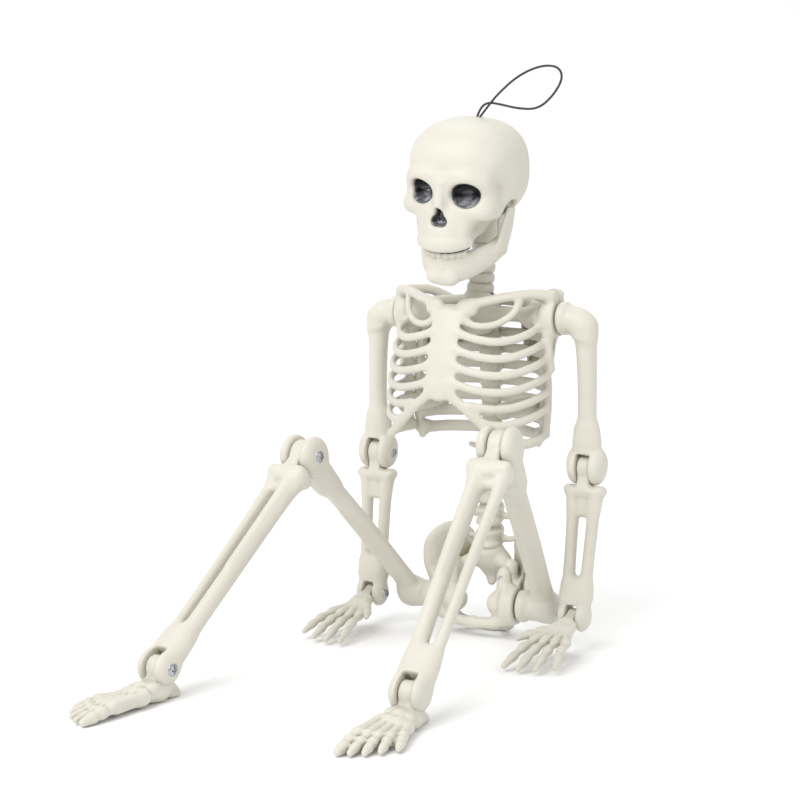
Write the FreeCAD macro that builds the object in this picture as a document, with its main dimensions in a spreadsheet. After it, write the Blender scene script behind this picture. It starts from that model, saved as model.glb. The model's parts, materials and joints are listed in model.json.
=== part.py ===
"""A jointed skeleton figure of moulded plastic, about 400 mm tall when it stands, sitting on the floor.

Frame: millimetres, +Z up, the figure looks along -Y, its own left is +X.  The origin is on the
floor, in the middle of the flat seat under its pelvis.
Each limb segment is modelled in a local frame: origin on the joint nearer the body, bone along -Z
as when the figure stands, x outward; the object's Placement then puts the segment in the pose.
"""

import FreeCAD, Part
import math
import os
import re

from FreeCAD import Placement, Rotation, Vector

DIMENSIONS = {
    # pose
    "hip_y": -15.0, "hip_x": 19.0, "hip_z": 14.7,
    "leg_yaw_left": 4.1, "leg_yaw_right": 6.3,
    "thigh_lift_left": 52.2, "thigh_lift_right": 44.4,
    "shoulder_x": 36.5, "shoulder_z": 133.5,
    "upper_arm_swing_left": 2.7, "upper_arm_swing_right": -0.7,
    "forearm_swing_left": -9.9, "forearm_swing_right": -4.7,
    "fingertip_height": 2.2,
    "neck_lean": 5.5, "head_nod": 12.0,
    # bone lengths, joint to joint
    "femur_length": 94.0, "shin_length": 107.8, "humerus_length": 59.8, "forearm_length": 59.9,
    "hand_length": 45.0, "ankle_height": 12.0, "foot_front": 46.0,
    # joints: ears of a clevis, tongue between them, screw through both
    "gap": 0.35, "bore_gap": 0.06,
    "knee_ear_radius": 7.6, "knee_half_width": 7.4, "knee_tongue": 2.9,
    "ankle_ear_radius": 6.0, "ankle_half_width": 6.4, "ankle_tongue": 2.7,
    "elbow_ear_radius": 6.4, "elbow_half_width": 6.8, "elbow_tongue": 2.6,
    "wrist_ear_radius": 5.0, "wrist_half_width": 5.8, "wrist_tongue": 2.1,
    "screw_radius": 1.1, "screw_head_radius": 2.2, "screw_head_height": 1.5,
    "socket_pin_radius": 2.9, "socket_flange_radius": 5.1, "socket_flange_width": 1.8,
    # bone thicknesses (radii)
    "femur_radius": 4.5, "tibia_radius": 4.1, "fibula_radius": 2.4, "humerus_radius": 3.9,
    "ulna_radius": 2.5, "finger_radius": 1.7, "toe_radius": 2.1,
    # rib cage: an oval wall, wider at the bottom
    "cage_bottom": 84.0, "cage_top": 142.0, "cage_wall": 2.6, "rib_height": 3.3, "rib_pitch": 6.6,
    "cage_half_width": 35.2, "cage_half_depth": 24.5, "cage_half_height": 64.0,
    "cage_y": -25.0, "cage_middle": 101.0, "cage_lean": 5.0,
    "rib_slope": 9.0, "sternum_width": 10.6, "post_radius": 3.6,
    "shoulder_block_radius": 7.6, "hip_block_radius": 8.0,
    # neck and skull
    "neck_z": 142.3, "neck_radius": 5.6, "neck_core": 4.7, "neck_rings": 6, "neck_ring_pitch": 4.3,
    "skull_width": 22.5, "skull_depth": 27.0, "skull_height": 21.5, "skull_wall": 2.2,
    "skull_centre_y": -6.0, "skull_centre_z": 41.0,
    "jaw_hinge_x": 18.6, "jaw_hinge_y": -10.7, "jaw_hinge_z": 29.0, "jaw_pin_radius": 1.3,
    # cord
    "cord_radius": 0.45,
}

doc = FreeCAD.newDocument("skeleton_figure")
dims = doc.addObject("Spreadsheet::Sheet", "dims")
for row, (alias, number) in enumerate(DIMENSIONS.items(), start=1):
    dims.set(f"A{row}", alias)
    dims.set(f"B{row}", str(number))
    dims.setAlias(f"B{row}", alias)
doc.recompute()

ORIGIN = Vector(0, 0, 0)
X, Y, Z = Vector(1, 0, 0), Vector(0, 1, 0), Vector(0, 0, 1)
sub_parts = []


def size(alias):
    """The number in the sheet's cell of that alias."""
    return float(dims.get(alias))


def bind(thing, **expressions):
    """Ties properties to the sheet: each word in an expression is an alias."""
    for name, words in expressions.items():
        thing.setExpression(name, re.sub(r"\b[a-z]\w+\b", r"dims.\g<0>", words))
    return thing


def rod(start, end, radius, end_radius=None):
    """A round bar from one point to another, tapering if end_radius is given."""
    kind = "Part::Cone" if end_radius else "Part::Cylinder"
    thing = doc.addObject(kind, "rod")
    thing.Height = (end - start).Length
    thing.Placement = Placement(start, Rotation(Z, end - start))
    if end_radius:
        return bind(thing, Radius1=radius, Radius2=end_radius)
    return bind(thing, Radius=radius)


def disc(x_low, x_high, radius, y=0.0, z=0.0):
    """A round bar along X."""
    return rod(Vector(x_low, y, z), Vector(x_high, y, z), radius)


def ball(centre, radius):
    thing = doc.addObject("Part::Sphere", "ball")
    thing.Placement.Base = centre
    return bind(thing, Radius=radius)


def egg(centre, half_x, half_y, half_z, rotation=None):
    """An ellipsoid with its half axes along X, Y and Z."""
    thing = doc.addObject("Part::Ellipsoid", "egg")
    thing.Angle1, thing.Angle2, thing.Angle3 = -90, 90, 360
    thing.Placement = Placement(centre, rotation or Rotation())
    return bind(thing, Radius2=half_x, Radius3=half_y, Radius1=half_z)


def block(low, high):
    """A box between two corners."""
    thing = doc.addObject("Part::Box", "block")
    thing.Length, thing.Width, thing.Height = high.x - low.x, high.y - low.y, high.z - low.z
    thing.Placement.Base = low
    return thing


def sided(side, low, high):
    """A box given for the left side, mirrored to x -> -x on the right."""
    xs = sorted((side * low.x, side * high.x))
    return block(Vector(xs[0], low.y, low.z), Vector(xs[1], high.y, high.z))


def fuse(*pieces):
    thing = doc.addObject("Part::MultiFuse", "fuse")
    thing.Shapes = list(pieces)
    return thing


def cut(base, *tools):
    thing = doc.addObject("Part::Cut", "cut")
    thing.Base = base
    thing.Tool = tools[0] if len(tools) == 1 else fuse(*tools)
    return thing


def common(*pieces):
    thing = doc.addObject("Part::MultiCommon", "common")
    thing.Shapes = list(pieces)
    return thing


def sub_part(label, thing, placement=None):
    """Names a finished piece and puts it in its place."""
    thing.Label = label
    if placement:
        thing.Placement = placement.multiply(thing.Placement)
    sub_parts.append(thing)
    return thing


def point(x=0.0, y=0.0, z=0.0):
    return Vector(x, y, z)


# ---------------------------------------------------------------- pose of the limbs
SIDES = {"left": 1, "right": -1}


def turned(base, yaw, pitch):
    """A frame at base, turned about Z by yaw and then about its own X by pitch."""
    return Placement(base, Rotation(Z, yaw).multiply(Rotation(X, pitch)))


def leg_frames(name, side):
    """Hip, knee and ankle frames. The shin comes down until the sole is on the floor."""
    yaw = side * size("leg_yaw_" + name)
    hip = turned(point(side * size("hip_x"), size("hip_y"), size("hip_z")), yaw,
                 -90 - size("thigh_lift_" + name))
    knee_at = hip.multVec(point(side * KNEE_OUT, 0, -size("femur_length")))
    drop = (knee_at.z - size("ankle_height")) / size("shin_length")
    knee = turned(knee_at, yaw, -90 + math.degrees(math.asin(drop)))
    ankle_at = knee.multVec(point(0, 0, -size("shin_length")))
    return hip, knee, turned(ankle_at, yaw, 0)


def arm_frames(name, side):
    """Shoulder, elbow and wrist frames. The hand droops until its fingertips are on the floor."""
    shoulder = turned(point(side * size("shoulder_x"), size("hip_y"), size("shoulder_z")), 0,
                      size("upper_arm_swing_" + name))
    elbow = turned(shoulder.multVec(point(side * ARM_OUT, 0, -size("humerus_length"))), 0,
                   size("forearm_swing_" + name))
    wrist_at = elbow.multVec(point(0, 0, -size("forearm_length")))
    droop = (wrist_at.z - size("fingertip_height")) / size("hand_length")
    return shoulder, elbow, turned(wrist_at, 0, -90 + math.degrees(math.asin(droop)))


# ---------------------------------------------------------------- joints between segments
KNEE_OUT = 16.6
ARM_OUT = 11.4
TOE_SPLAY = 0.075  # how far the toes drift outward for each millimetre forward
FLANGE_IN = 3.2


def socket_stub(side, reach, radius, end_radius):
    """The inner end of a limb: a flange and pin that the body's halves hold, and the round stub outside."""
    width = size("socket_flange_width")
    flange = disc(side * -FLANGE_IN, side * -(FLANGE_IN + width), "socket_flange_radius")
    pin = disc(side * -(FLANGE_IN + width / 2), side * 1.2, "socket_pin_radius")
    stub = rod(point(side * size("gap")), point(side * reach), radius, end_radius)
    return [flange, pin, stub]


def socket_cavity(side, x_face, centre_y, centre_z):
    """What the body's halves leave free for a limb's flange and pin."""
    width = size("socket_flange_width")
    inner, outer = FLANGE_IN + width + 0.3, FLANGE_IN - 0.3
    room = disc(side * (x_face - inner), side * (x_face - outer),
                "socket_flange_radius + bore_gap", centre_y, centre_z)
    bore = disc(side * (x_face - inner), side * (x_face + 1), "socket_pin_radius + bore_gap",
                centre_y, centre_z)
    return [room, bore]


def clevis(joint, axis_at, rise):
    """The two ears at a bone's lower end and the flare above them, before clevis_slot is cut."""
    half = size(joint + "_half_width")
    radius = size(joint + "_ear_radius")
    ears = disc(axis_at.x - half, axis_at.x + half, joint + "_ear_radius", 0, axis_at.z)
    flare = rod(axis_at + point(z=radius * 0.4), axis_at + point(z=rise),
                joint + "_half_width", joint + "_half_width * 0.62")
    return [ears, flare]


def clevis_slot(joint, axis_at):
    """The slot for the tongue, open below and on both faces, and the screw's hole."""
    half = size(joint + "_tongue") + size("gap")
    radius = size(joint + "_ear_radius")
    slot = block(axis_at + point(-half, -radius * 2, -radius * 2),
                 axis_at + point(half, radius * 2, radius - 0.4))
    reach = size(joint + "_half_width") + 3
    hole = disc(axis_at.x - reach, axis_at.x + reach, "screw_radius + bore_gap", 0, axis_at.z)
    return [slot, hole]


def tongue(joint, reach):
    """The flat tongue at a bone's upper end and the web below it, before its hole is cut."""
    half = size(joint + "_tongue")
    eye = disc(-half, half, joint + "_ear_radius - 1.5")
    depth = size(joint + "_ear_radius") * 0.55
    return [eye, block(point(-half, -depth, -reach), point(half, depth, 0))]


def pivot_screw(joint, side):
    """A screw through a clevis from its inner ear: round head outside, shank into the outer ear."""
    half = size(joint + "_half_width")
    head_high = size("screw_head_height")
    shank = disc(-side * half, side * (half - 1.2), "screw_radius")
    flat = disc(-side * (half + head_high * 0.4), -side * half, "screw_head_radius")
    dome = rod(point(-side * (half + head_high * 0.4)), point(-side * (half + head_high)),
               "screw_head_radius", "screw_head_radius * 0.62")
    return fuse(shank, flat, dome)


# ---------------------------------------------------------------- legs
def femur(side):
    root, knee = point(side * 12.0), point(side * KNEE_OUT, 0, -size("femur_length"))
    trochanter = disc(side * 11.5, side * 17.6, "femur_radius + 0.9")
    shaft = rod(root, knee + point(-side * 0.6, 0, 12), "femur_radius + 0.4", "femur_radius")
    stub = socket_stub(side, 12.0, "hip_block_radius - 2", "femur_radius")
    whole = fuse(*stub, trochanter, ball(root, "femur_radius + 0.5"), shaft, *clevis("knee", knee, 20))
    return cut(whole, *clevis_slot("knee", knee))


def shin(side):
    ankle = point(z=-size("shin_length"))
    top = size("knee_ear_radius") + 0.8
    plateau = block(point(-8.4, -4.8, -top - 5), point(8.4, 4.8, -top))
    edges = doc.addObject("Part::Fillet", "fillet")
    edges.Base = plateau
    edges.Edges = [(number, 1.8, 1.8) for number in (1, 3, 5, 7)]
    tibia = rod(point(-side * 3.3, 0, -top - 3), ankle + point(-side * 2.4, 0, 12),
                "tibia_radius + 0.5", "tibia_radius")
    fibula = rod(point(side * 5.5, 0, -top - 3), ankle + point(side * 4.3, 0, 12),
                 "fibula_radius", "fibula_radius + 0.3")
    whole = fuse(*tongue("knee", top + 1), edges, tibia, fibula, *clevis("ankle", ankle, 17))
    hole = disc(-9, 9, "screw_radius + bore_gap")
    return cut(whole, hole, *clevis_slot("ankle", ankle))


def foot(side):
    """A sole plate with a raised instep, five toes, and the ankle's tongue."""
    body = doc.addObject("PartDesign::Body", "foot_body")
    profile = sketch(body, "YZ_Plane", [
        (-26, -12), (7, -12), (8, -9.5), (6, -7.2), (-6, -7.2), (-14, -7.6), (-26, -8.6)])
    pad = body.newObject("PartDesign::Pad", "instep")
    pad.Profile = profile
    pad.Midplane = True
    pad.Length = 13.0
    pad.setExpression("Length", "dims.ankle_half_width * 2")
    toes = []
    for number in range(5):
        across = side * (-7.6 + 3.9 * number)
        tip = -size("foot_front") + size("toe_radius") + number * number * 0.75
        high = -size("ankle_height") + size("toe_radius")
        toe_tip = point(across * 1.12 - side * TOE_SPLAY * tip, tip, high)
        toes.append(rod(point(across * 0.75, -16, high + 1.2), toe_tip,
                        "toe_radius + 0.5", "toe_radius * 0.9"))
        toes.append(ball(toe_tip, "toe_radius * 0.95"))
    hole = disc(-9, 9, "screw_radius + bore_gap")
    return cut(fuse(body, *tongue("ankle", 8.4), *toes), hole)


def sketch(body, plane, corners):
    """A closed outline of straight lines on one of the body's own planes."""
    outline = body.newObject("Sketcher::SketchObject", "outline")
    support = [p for p in body.Origin.OriginFeatures if p.Role == plane][0]
    outline.AttachmentSupport = [(support, "")]
    outline.MapMode = "FlatFace"
    points = [point(x, y) for x, y in corners]
    for first, second in zip(points, points[1:] + points[:1]):
        outline.addGeometry(Part.LineSegment(first, second), False)
    return outline


# ---------------------------------------------------------------- arms
def humerus(side):
    root, elbow_at = point(side * ARM_OUT), point(side * ARM_OUT, 0, -size("humerus_length"))
    shaft = rod(root, elbow_at + point(z=10), "humerus_radius + 0.7", "humerus_radius")
    corner = ball(point(side * (ARM_OUT - 1)), "humerus_radius + 1.6")
    stub = socket_stub(side, ARM_OUT, "shoulder_block_radius - 1.4", "humerus_radius + 1.3")
    whole = fuse(*stub, corner, shaft, *clevis("elbow", elbow_at, 17))
    return cut(whole, *clevis_slot("elbow", elbow_at))


def forearm():
    wrist_at = point(z=-size("forearm_length"))
    top = size("elbow_ear_radius") + 0.7
    head = block(point(-7.9, -3.6, -top - 4), point(7.9, 3.6, -top))
    edges = doc.addObject("Part::Fillet", "fillet")
    edges.Base = head
    edges.Edges = [(number, 1.4, 1.4) for number in (1, 3, 5, 7)]
    bones = [rod(point(x * 4.4, 0, -top - 2), wrist_at + point(x * 3.6, 0, 11), "ulna_radius",
                 "ulna_radius + 0.2") for x in (-1, 1)]
    whole = fuse(*tongue("elbow", top + 1), edges, *bones, *clevis("wrist", wrist_at, 14))
    hole = disc(-9, 9, "screw_radius + bore_gap")
    return cut(whole, hole, *clevis_slot("wrist", wrist_at))


def hand(side):
    """A flat palm with four fingers and, on the inner side, a thumb."""
    palm = [rod(point(x * 0.9, 0, -6.5), point(x * 2.6, 0, -19), "finger_radius + 0.5",
                "finger_radius + 0.3") for x in (-2.4, -0.8, 0.8, 2.4)]
    palm.append(block(point(-3.6, -1.6, -14), point(3.6, 1.6, -6.2)))
    fingers = []
    tip_radius = size("finger_radius") * 0.9
    for number, spread in enumerate((-2.4, -0.8, 0.8, 2.4)):
        length = size("hand_length") - tip_radius - (0.6, 0.0, 1.4, 4.6)[number]
        knuckle, tip = point(side * spread * 2.6, 0, -19), point(side * spread * 4.1, 0, -length)
        fingers.append(rod(knuckle, tip, "finger_radius + 0.2", "finger_radius * 0.8"))
        fingers += [ball(knuckle, "finger_radius + 0.4"), ball(tip, "finger_radius * 0.9")]
    thumb_tip = point(-side * 12.5, -2, -25)
    thumb = [rod(point(-side * 2.4, 0, -9.5), thumb_tip, "finger_radius + 0.4", "finger_radius * 0.8"),
             ball(thumb_tip, "finger_radius * 0.9")]
    hole = disc(-9, 9, "screw_radius + bore_gap")
    return cut(fuse(*tongue("wrist", 7.2), *palm, *fingers, *thumb), hole)


for name, side in SIDES.items():
    hip, knee, ankle = leg_frames(name, side)
    shoulder, elbow, wrist = arm_frames(name, side)
    at_knee = hip.multiply(Placement(point(side * KNEE_OUT, 0, -size("femur_length")), Rotation()))
    at_ankle = knee.multiply(Placement(point(0, 0, -size("shin_length")), Rotation()))
    at_elbow = shoulder.multiply(Placement(point(side * ARM_OUT, 0, -size("humerus_length")), Rotation()))
    at_wrist = elbow.multiply(Placement(point(0, 0, -size("forearm_length")), Rotation()))
    sub_part(name + "_femur", femur(side), hip)
    sub_part(name + "_knee_screw", pivot_screw("knee", side), at_knee)
    sub_part(name + "_shin", shin(side), knee)
    sub_part(name + "_ankle_screw", pivot_screw("ankle", side), at_ankle)
    sub_part(name + "_foot", foot(side), ankle)
    sub_part(name + "_humerus", humerus(side), shoulder)
    sub_part(name + "_elbow_screw", pivot_screw("elbow", side), at_elbow)
    sub_part(name + "_forearm", forearm(), elbow)
    sub_part(name + "_wrist_screw", pivot_screw("wrist", side), at_wrist)
    sub_part(name + "_hand", hand(side), wrist)


# ---------------------------------------------------------------- torso
SPLIT_Y = size("hip_y")  # the torso's halves meet in the plane of the shoulder and hip axes
FAR = 200.0


def front_half(thing):
    return common(thing, block(point(-FAR, SPLIT_Y - FAR, -FAR), point(FAR, SPLIT_Y, FAR)))


def back_half(thing):
    return common(thing, block(point(-FAR, SPLIT_Y, -FAR), point(FAR, SPLIT_Y + FAR, FAR)))


def cage_solid(less):
    """The rib cage's egg-shaped body, smaller all round by less times the wall."""
    words = f" - {less} * cage_wall"
    return egg(point(0, size("cage_y"), size("cage_middle")), "cage_half_width" + words,
               "cage_half_depth" + words, "cage_half_height" + words, Rotation(X, -size("cage_lean")))


def cage_wall():
    """The thin wall between the outer and inner eggs, cut off level at the bottom."""
    above = block(point(-60, -80, size("cage_bottom")), point(60, 60, size("cage_top")))
    return common(cut(cage_solid(0), cage_solid(1)), above)


def tilted_slab(z, height):
    """One rib's level: a slab that slopes down to the front."""
    thing = doc.addObject("Part::Box", "slab")
    thing.Length, thing.Width = 100, 90
    bind(thing, Height=height)
    slope = Rotation(X, size("rib_slope"))
    middle = point(0, SPLIT_Y, z)
    thing.Placement = Placement(middle + slope.multVec(point(-50, -45, 0)), slope)
    return thing


def rib_levels(first, last):
    top = size("cage_top") - 8.5
    return [tilted_slab(top - number * size("rib_pitch"), "rib_height") for number in range(first, last)]


def shoulder_blocks():
    z = size("shoulder_z")
    inner = size("shoulder_x") - 12.5
    return [disc(side * inner, side * size("shoulder_x"), "shoulder_block_radius", SPLIT_Y, z)
            for side in SIDES.values()]


def shoulder_cavities():
    return [tool for side in SIDES.values() for tool in
            socket_cavity(side, size("shoulder_x"), SPLIT_Y, size("shoulder_z"))]


NECK_AT = point(0, SPLIT_Y + 0.5, size("neck_z"))
NECK_TURN = Rotation(Y, size("neck_lean"))
NECK_FRAME = Placement(NECK_AT, NECK_TURN)


def neck_seat(radius):
    """Room in the torso for the neck's foot, along the neck's own axis."""
    return rod(NECK_FRAME.multVec(point(z=-8.2)), NECK_FRAME.multVec(point(z=2)), radius)


POSTS = [(side * 22.5, size("cage_bottom") + 13.5) for side in SIDES.values()]


def side_rails():
    """Strips up both sides, where the two halves of the cage meet."""
    return [sided(side, point(20, SPLIT_Y - 2.4, size("cage_bottom")),
                  point(40, SPLIT_Y + 2.4, size("cage_top") - 12)) for side in SIDES.values()]


def ribcage_front():
    """Sternum, collar bones, the front ends of the ribs and the arch below them."""
    half_sternum = size("sternum_width") / 2
    sternum = block(point(-half_sternum, SPLIT_Y - 40, size("cage_bottom") + 19),
                    point(half_sternum, SPLIT_Y, size("cage_top") - 2))
    arch_at = point(0, SPLIT_Y, size("cage_bottom") - 4)
    arch = rod(arch_at + point(y=-60), arch_at, "cage_half_width - 10")
    arch_inside = rod(arch_at + point(y=-70), arch_at + point(y=1), "cage_half_width - 13.4")
    ribs = fuse(cut(fuse(sternum, arch, *rib_levels(0, 8)), arch_inside), *side_rails())
    wall = common(cage_wall(), ribs)
    top = size("cage_top") - 2.5
    collar_bones = [rod(point(side * 2.5, SPLIT_Y - 20.5, top - 1.5),
                        point(side * 30, SPLIT_Y - 3, top), "tibia_radius - 1.5") for side in SIDES.values()]
    posts = [rod(point(x, SPLIT_Y - 22, z), point(x, SPLIT_Y, z), "post_radius") for x, z in POSTS]
    holder = rod(NECK_AT + point(z=-11), NECK_AT + point(z=-0.4), "neck_radius + 3")
    struts = [rod(point(side * 6, SPLIT_Y - 1, top - 4), point(side * 27, SPLIT_Y - 1, top - 5),
                  "tibia_radius - 1.2") for side in SIDES.values()]
    bridge = rod(point(0, SPLIT_Y - 20, top - 4), point(0, SPLIT_Y, top - 4), "tibia_radius - 1")
    whole = fuse(wall, *collar_bones, *posts, *shoulder_blocks(), holder, *struts, bridge)
    screw_holes = [rod(point(x, SPLIT_Y - 9, z), point(x, SPLIT_Y + 1, z), "screw_radius + bore_gap")
                   for x, z in POSTS]
    return cut(front_half(whole), *shoulder_cavities(), neck_seat("neck_core + bore_gap"),
               neck_foot_room(), *screw_holes)


def neck_foot_room():
    return rod(NECK_FRAME.multVec(point(z=-8.4)), NECK_FRAME.multVec(point(z=-5.6)),
               "neck_core + 1.6 + bore_gap")


def shoulder_blade(side):
    """A thin plate behind the ribs with its ridge running out to the shoulder."""
    seam_turn = 180 if side > 0 else 0  # the egg's seam faces the backbone, clear of the shoulder's block
    plate = egg(point(side * 22, SPLIT_Y + 11.5, size("cage_top") - 18), "cage_wall * 4.2", "cage_wall * 0.8",
                "cage_wall * 6.2", Rotation(Z, side * -28 + seam_turn))
    ridge = rod(point(side * 12, SPLIT_Y + 13.5, size("cage_top") - 10),
                point(side * 30, SPLIT_Y + 2, size("cage_top") - 3), "tibia_radius - 1.6")
    return [plate, ridge]


def ribcage_back():
    """Broad rib bands, the backbone's ridge, shoulder blades and the screw posts."""
    bands = common(cage_wall(), fuse(*rib_levels(0, 8), *side_rails()))
    back = SPLIT_Y + 13.5
    spine = rod(point(0, back - 2.5, size("cage_bottom") - 1), point(0, back - 6, size("cage_top") - 1),
                "neck_core - 0.6")
    posts = [rod(point(x, SPLIT_Y, z), point(x, SPLIT_Y + 12, z), "post_radius") for x, z in POSTS]
    holder = rod(NECK_AT + point(z=-11), NECK_AT + point(z=-0.4), "neck_radius + 3")
    struts = [rod(point(side * 6, SPLIT_Y + 1, size("cage_top") - 6.5),
                  point(side * 27, SPLIT_Y + 1, size("cage_top") - 7.5), "tibia_radius - 1.2")
              for side in SIDES.values()]
    blades = [piece for side in SIDES.values() for piece in shoulder_blade(side)]
    whole = fuse(bands, spine, *posts, *shoulder_blocks(), holder, *struts, *blades)
    screw_holes = [rod(point(x, SPLIT_Y - 1, z), point(x, SPLIT_Y + 12.1, z), "screw_radius + bore_gap")
                   for x, z in POSTS]
    return cut(back_half(whole), *shoulder_cavities(), neck_seat("neck_core + bore_gap"),
               neck_foot_room(), spine_seat(), *screw_holes)


SPINE_Y = SPLIT_Y + 9.5


def spine_seat():
    """The blind hole under the backbone that takes the lumbar column's upper pin."""
    bottom = size("cage_bottom")
    return rod(point(0, SPINE_Y, bottom - 3), point(0, SPINE_Y, bottom + 8), "neck_core - 1.9")


def neck():
    """Stacked rings on a core; a flanged foot held in the torso and a flanged head held in the skull."""
    body = doc.addObject("PartDesign::Body", "neck_body")
    core, ring = size("neck_core"), size("neck_radius")
    foot_radius = core + 1.6
    corners = [(0, -8), (foot_radius, -8), (foot_radius, -5.9), (core, -5.9), (core, 0.4)]
    for number in range(int(size("neck_rings"))):
        z = 0.4 + number * size("neck_ring_pitch")
        radius = ring - 0.12 * number
        corners += [(radius - 0.7, z), (radius, z + 0.8), (radius, z + 2.9), (radius - 0.7, z + 3.6),
                    (core - 0.5, z + 3.7), (core - 0.5, z + size("neck_ring_pitch") - 0.1)]
    top = 0.4 + size("neck_rings") * size("neck_ring_pitch")
    pin = size("socket_pin_radius")
    corners += [(pin, top), (pin, top + 4.2), (pin + 1.8, top + 4.2), (pin + 1.8, top + 6), (0, top + 6)]
    profile = sketch(body, "XZ_Plane", corners)
    turn = body.newObject("PartDesign::Revolution", "rings")
    turn.Profile = profile
    turn.ReferenceAxis = (profile, ["V_Axis"])
    turn.Angle = 360
    return body


NECK_TOP = 0.4 + size("neck_rings") * size("neck_ring_pitch")


def lumbar_spine():
    """Five vertebrae with short side processes, pinned into the rib cage above and the sacrum below."""
    low, high = size("hip_z") + 20, size("cage_bottom") - 1.5
    column = rod(point(0, SPINE_Y, low), point(0, SPINE_Y, high), "neck_core - 0.7")
    pieces = [column, rod(point(0, SPINE_Y, low - 6), point(0, SPINE_Y, high + 6.5), "neck_core - 2")]
    step = (high - low) / 5
    for number in range(5):
        z = low + step * (number + 0.5)
        pieces.append(rod(point(0, SPINE_Y, z - 2.6), point(0, SPINE_Y, z + 2.6), "neck_core + 0.7"))
        pieces.append(rod(point(-11, SPINE_Y + 2, z), point(11, SPINE_Y + 2, z), "cage_wall * 0.55"))
        pieces.append(rod(point(0, SPINE_Y, z), point(0, SPINE_Y + 9, z - 1), "cage_wall * 0.6"))
    return fuse(*pieces)


# ---------------------------------------------------------------- pelvis
def hip_frame(side):
    """A frame on one hip's joint, turned outward with that leg."""
    yaw = side * size("leg_yaw_" + ("left" if side > 0 else "right"))
    return Placement(point(side * size("hip_x"), size("hip_y"), size("hip_z")), Rotation(Z, yaw))


def along(frame, x_from, x_to, radius):
    return rod(frame.multVec(point(x_from)), frame.multVec(point(x_to)), radius)


def hip_blocks():
    return [along(hip_frame(side), -side * 9.5, 0, "hip_block_radius") for side in SIDES.values()]


def hip_cavities():
    tools = []
    width = size("socket_flange_width")
    for side in SIDES.values():
        frame = hip_frame(side)
        tools.append(along(frame, -side * (FLANGE_IN + width + 0.3), -side * (FLANGE_IN - 0.3),
                           "socket_flange_radius + bore_gap"))
        tools.append(along(frame, -side * (FLANGE_IN + width + 0.3), side * 1.5,
                           "socket_pin_radius + bore_gap"))
    return tools


PELVIS_POSTS = [(side * 12.0, size("hip_z") + 11.0) for side in SIDES.values()]


def pelvis_front():
    """The front shell: half of each hip socket, the pubic arch and the front of each wing's root."""
    arch_z = size("hip_z") - 7.5
    arch = rod(point(-12, SPLIT_Y - 3.2, arch_z), point(12, SPLIT_Y - 3.2, arch_z), "fibula_radius + 0.6")
    roots = [rod(point(side * 13, SPLIT_Y - 1, size("hip_z") + 2), point(side * 12, SPLIT_Y - 1,
             size("hip_z") + 15), "tibia_radius") for side in SIDES.values()]
    whole = front_half(fuse(arch, *roots, *hip_blocks()))
    holes = [rod(point(x, SPLIT_Y - 3.5, z), point(x, SPLIT_Y + 1, z), "screw_radius + bore_gap")
             for x, z in PELVIS_POSTS]
    return cut(whole, *hip_cavities(), *holes)


def pelvis_back():
    """The back shell: sacrum with its flat seat, the wings, and the other half of each socket."""
    hip_z = size("hip_z")
    wings, bars = [], []
    for side in SIDES.values():
        wing = Placement(point(side * 18.4, SPLIT_Y + 7.0, hip_z + 16.6), Rotation(Z, side * 22))
        wings.append(rod(wing.multVec(point(y=-1.5)), wing.multVec(point(y=1.5)), "cage_wall * 4.6"))
        bars.append(rod(point(side * 13, SPLIT_Y + 1, hip_z), point(side * 6, 0, hip_z + 16),
                        "tibia_radius"))
        bars.append(rod(point(side * 13, SPLIT_Y + 1, hip_z - 4), point(side * 4, 0, 3.4),
                        "fibula_radius + 0.5"))
        bars.append(rod(point(side * 12, SPLIT_Y + 1, hip_z + 2), point(side * 12, SPLIT_Y + 1, hip_z + 15),
                        "tibia_radius"))
    sacrum = rod(point(0, 0, 0.0), point(0, SPINE_Y, hip_z + 19.5), "hip_block_radius - 2.6",
                 "hip_block_radius - 1")
    seat = rod(point(), point(z=3.5), "hip_block_radius - 2")
    whole = fuse(sacrum, seat, *wings, *bars, *hip_blocks())
    floor_cut = block(point(-60, -60, -20), point(60, 60, 0))
    pin_hole = rod(point(0, SPINE_Y, hip_z + 13.5), point(0, SPINE_Y, hip_z + 26), "neck_core - 1.94")
    holes = [rod(point(x, SPLIT_Y - 1, z), point(x, SPLIT_Y + 14, z), "screw_radius + bore_gap")
             for x, z in PELVIS_POSTS]
    head_rooms = [rod(point(x, SPLIT_Y + 6, z), point(x, SPLIT_Y + 20, z), "screw_head_radius + gap")
                  for x, z in PELVIS_POSTS]
    return cut(back_half(whole), *hip_cavities(), floor_cut, pin_hole, *holes, *head_rooms)


def back_screws(places, tip_y, head_y):
    """A pair of screws put in from behind; each head lies on the back shell."""
    pieces = []
    for x, z in places:
        pieces.append(rod(point(x, tip_y, z), point(x, head_y + 0.2, z), "screw_radius"))
        pieces.append(rod(point(x, head_y, z), point(x, head_y + size("screw_head_height"), z),
                          "screw_head_radius"))
    return fuse(*pieces)


# ---------------------------------------------------------------- head
HEAD_AT = NECK_FRAME.multVec(point(z=10.3))
HEAD_FRAME = Placement(HEAD_AT, NECK_TURN.multiply(Rotation(X, size("head_nod"))))


def in_head(placement):
    return HEAD_FRAME.inverse().multiply(placement)


def neck_line(low, high, radius):
    """A round bar along the neck's axis, in the head's own frame."""
    frame = in_head(NECK_FRAME)
    return rod(frame.multVec(point(z=low)), frame.multVec(point(z=high)), radius)


def head_egg(centre, half_x, half_y, half_z):
    """An ellipsoid whose seam is turned to the front, away from the jaw's bearings."""
    return egg(centre, half_y, half_x, half_z, Rotation(Z, -90))


def skull_egg(less):
    centre = point(0, size("skull_centre_y"), size("skull_centre_z"))
    words = f" - {less} * skull_wall"
    return head_egg(centre, "skull_width" + words, "skull_depth" + words, "skull_height" + words)


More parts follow.
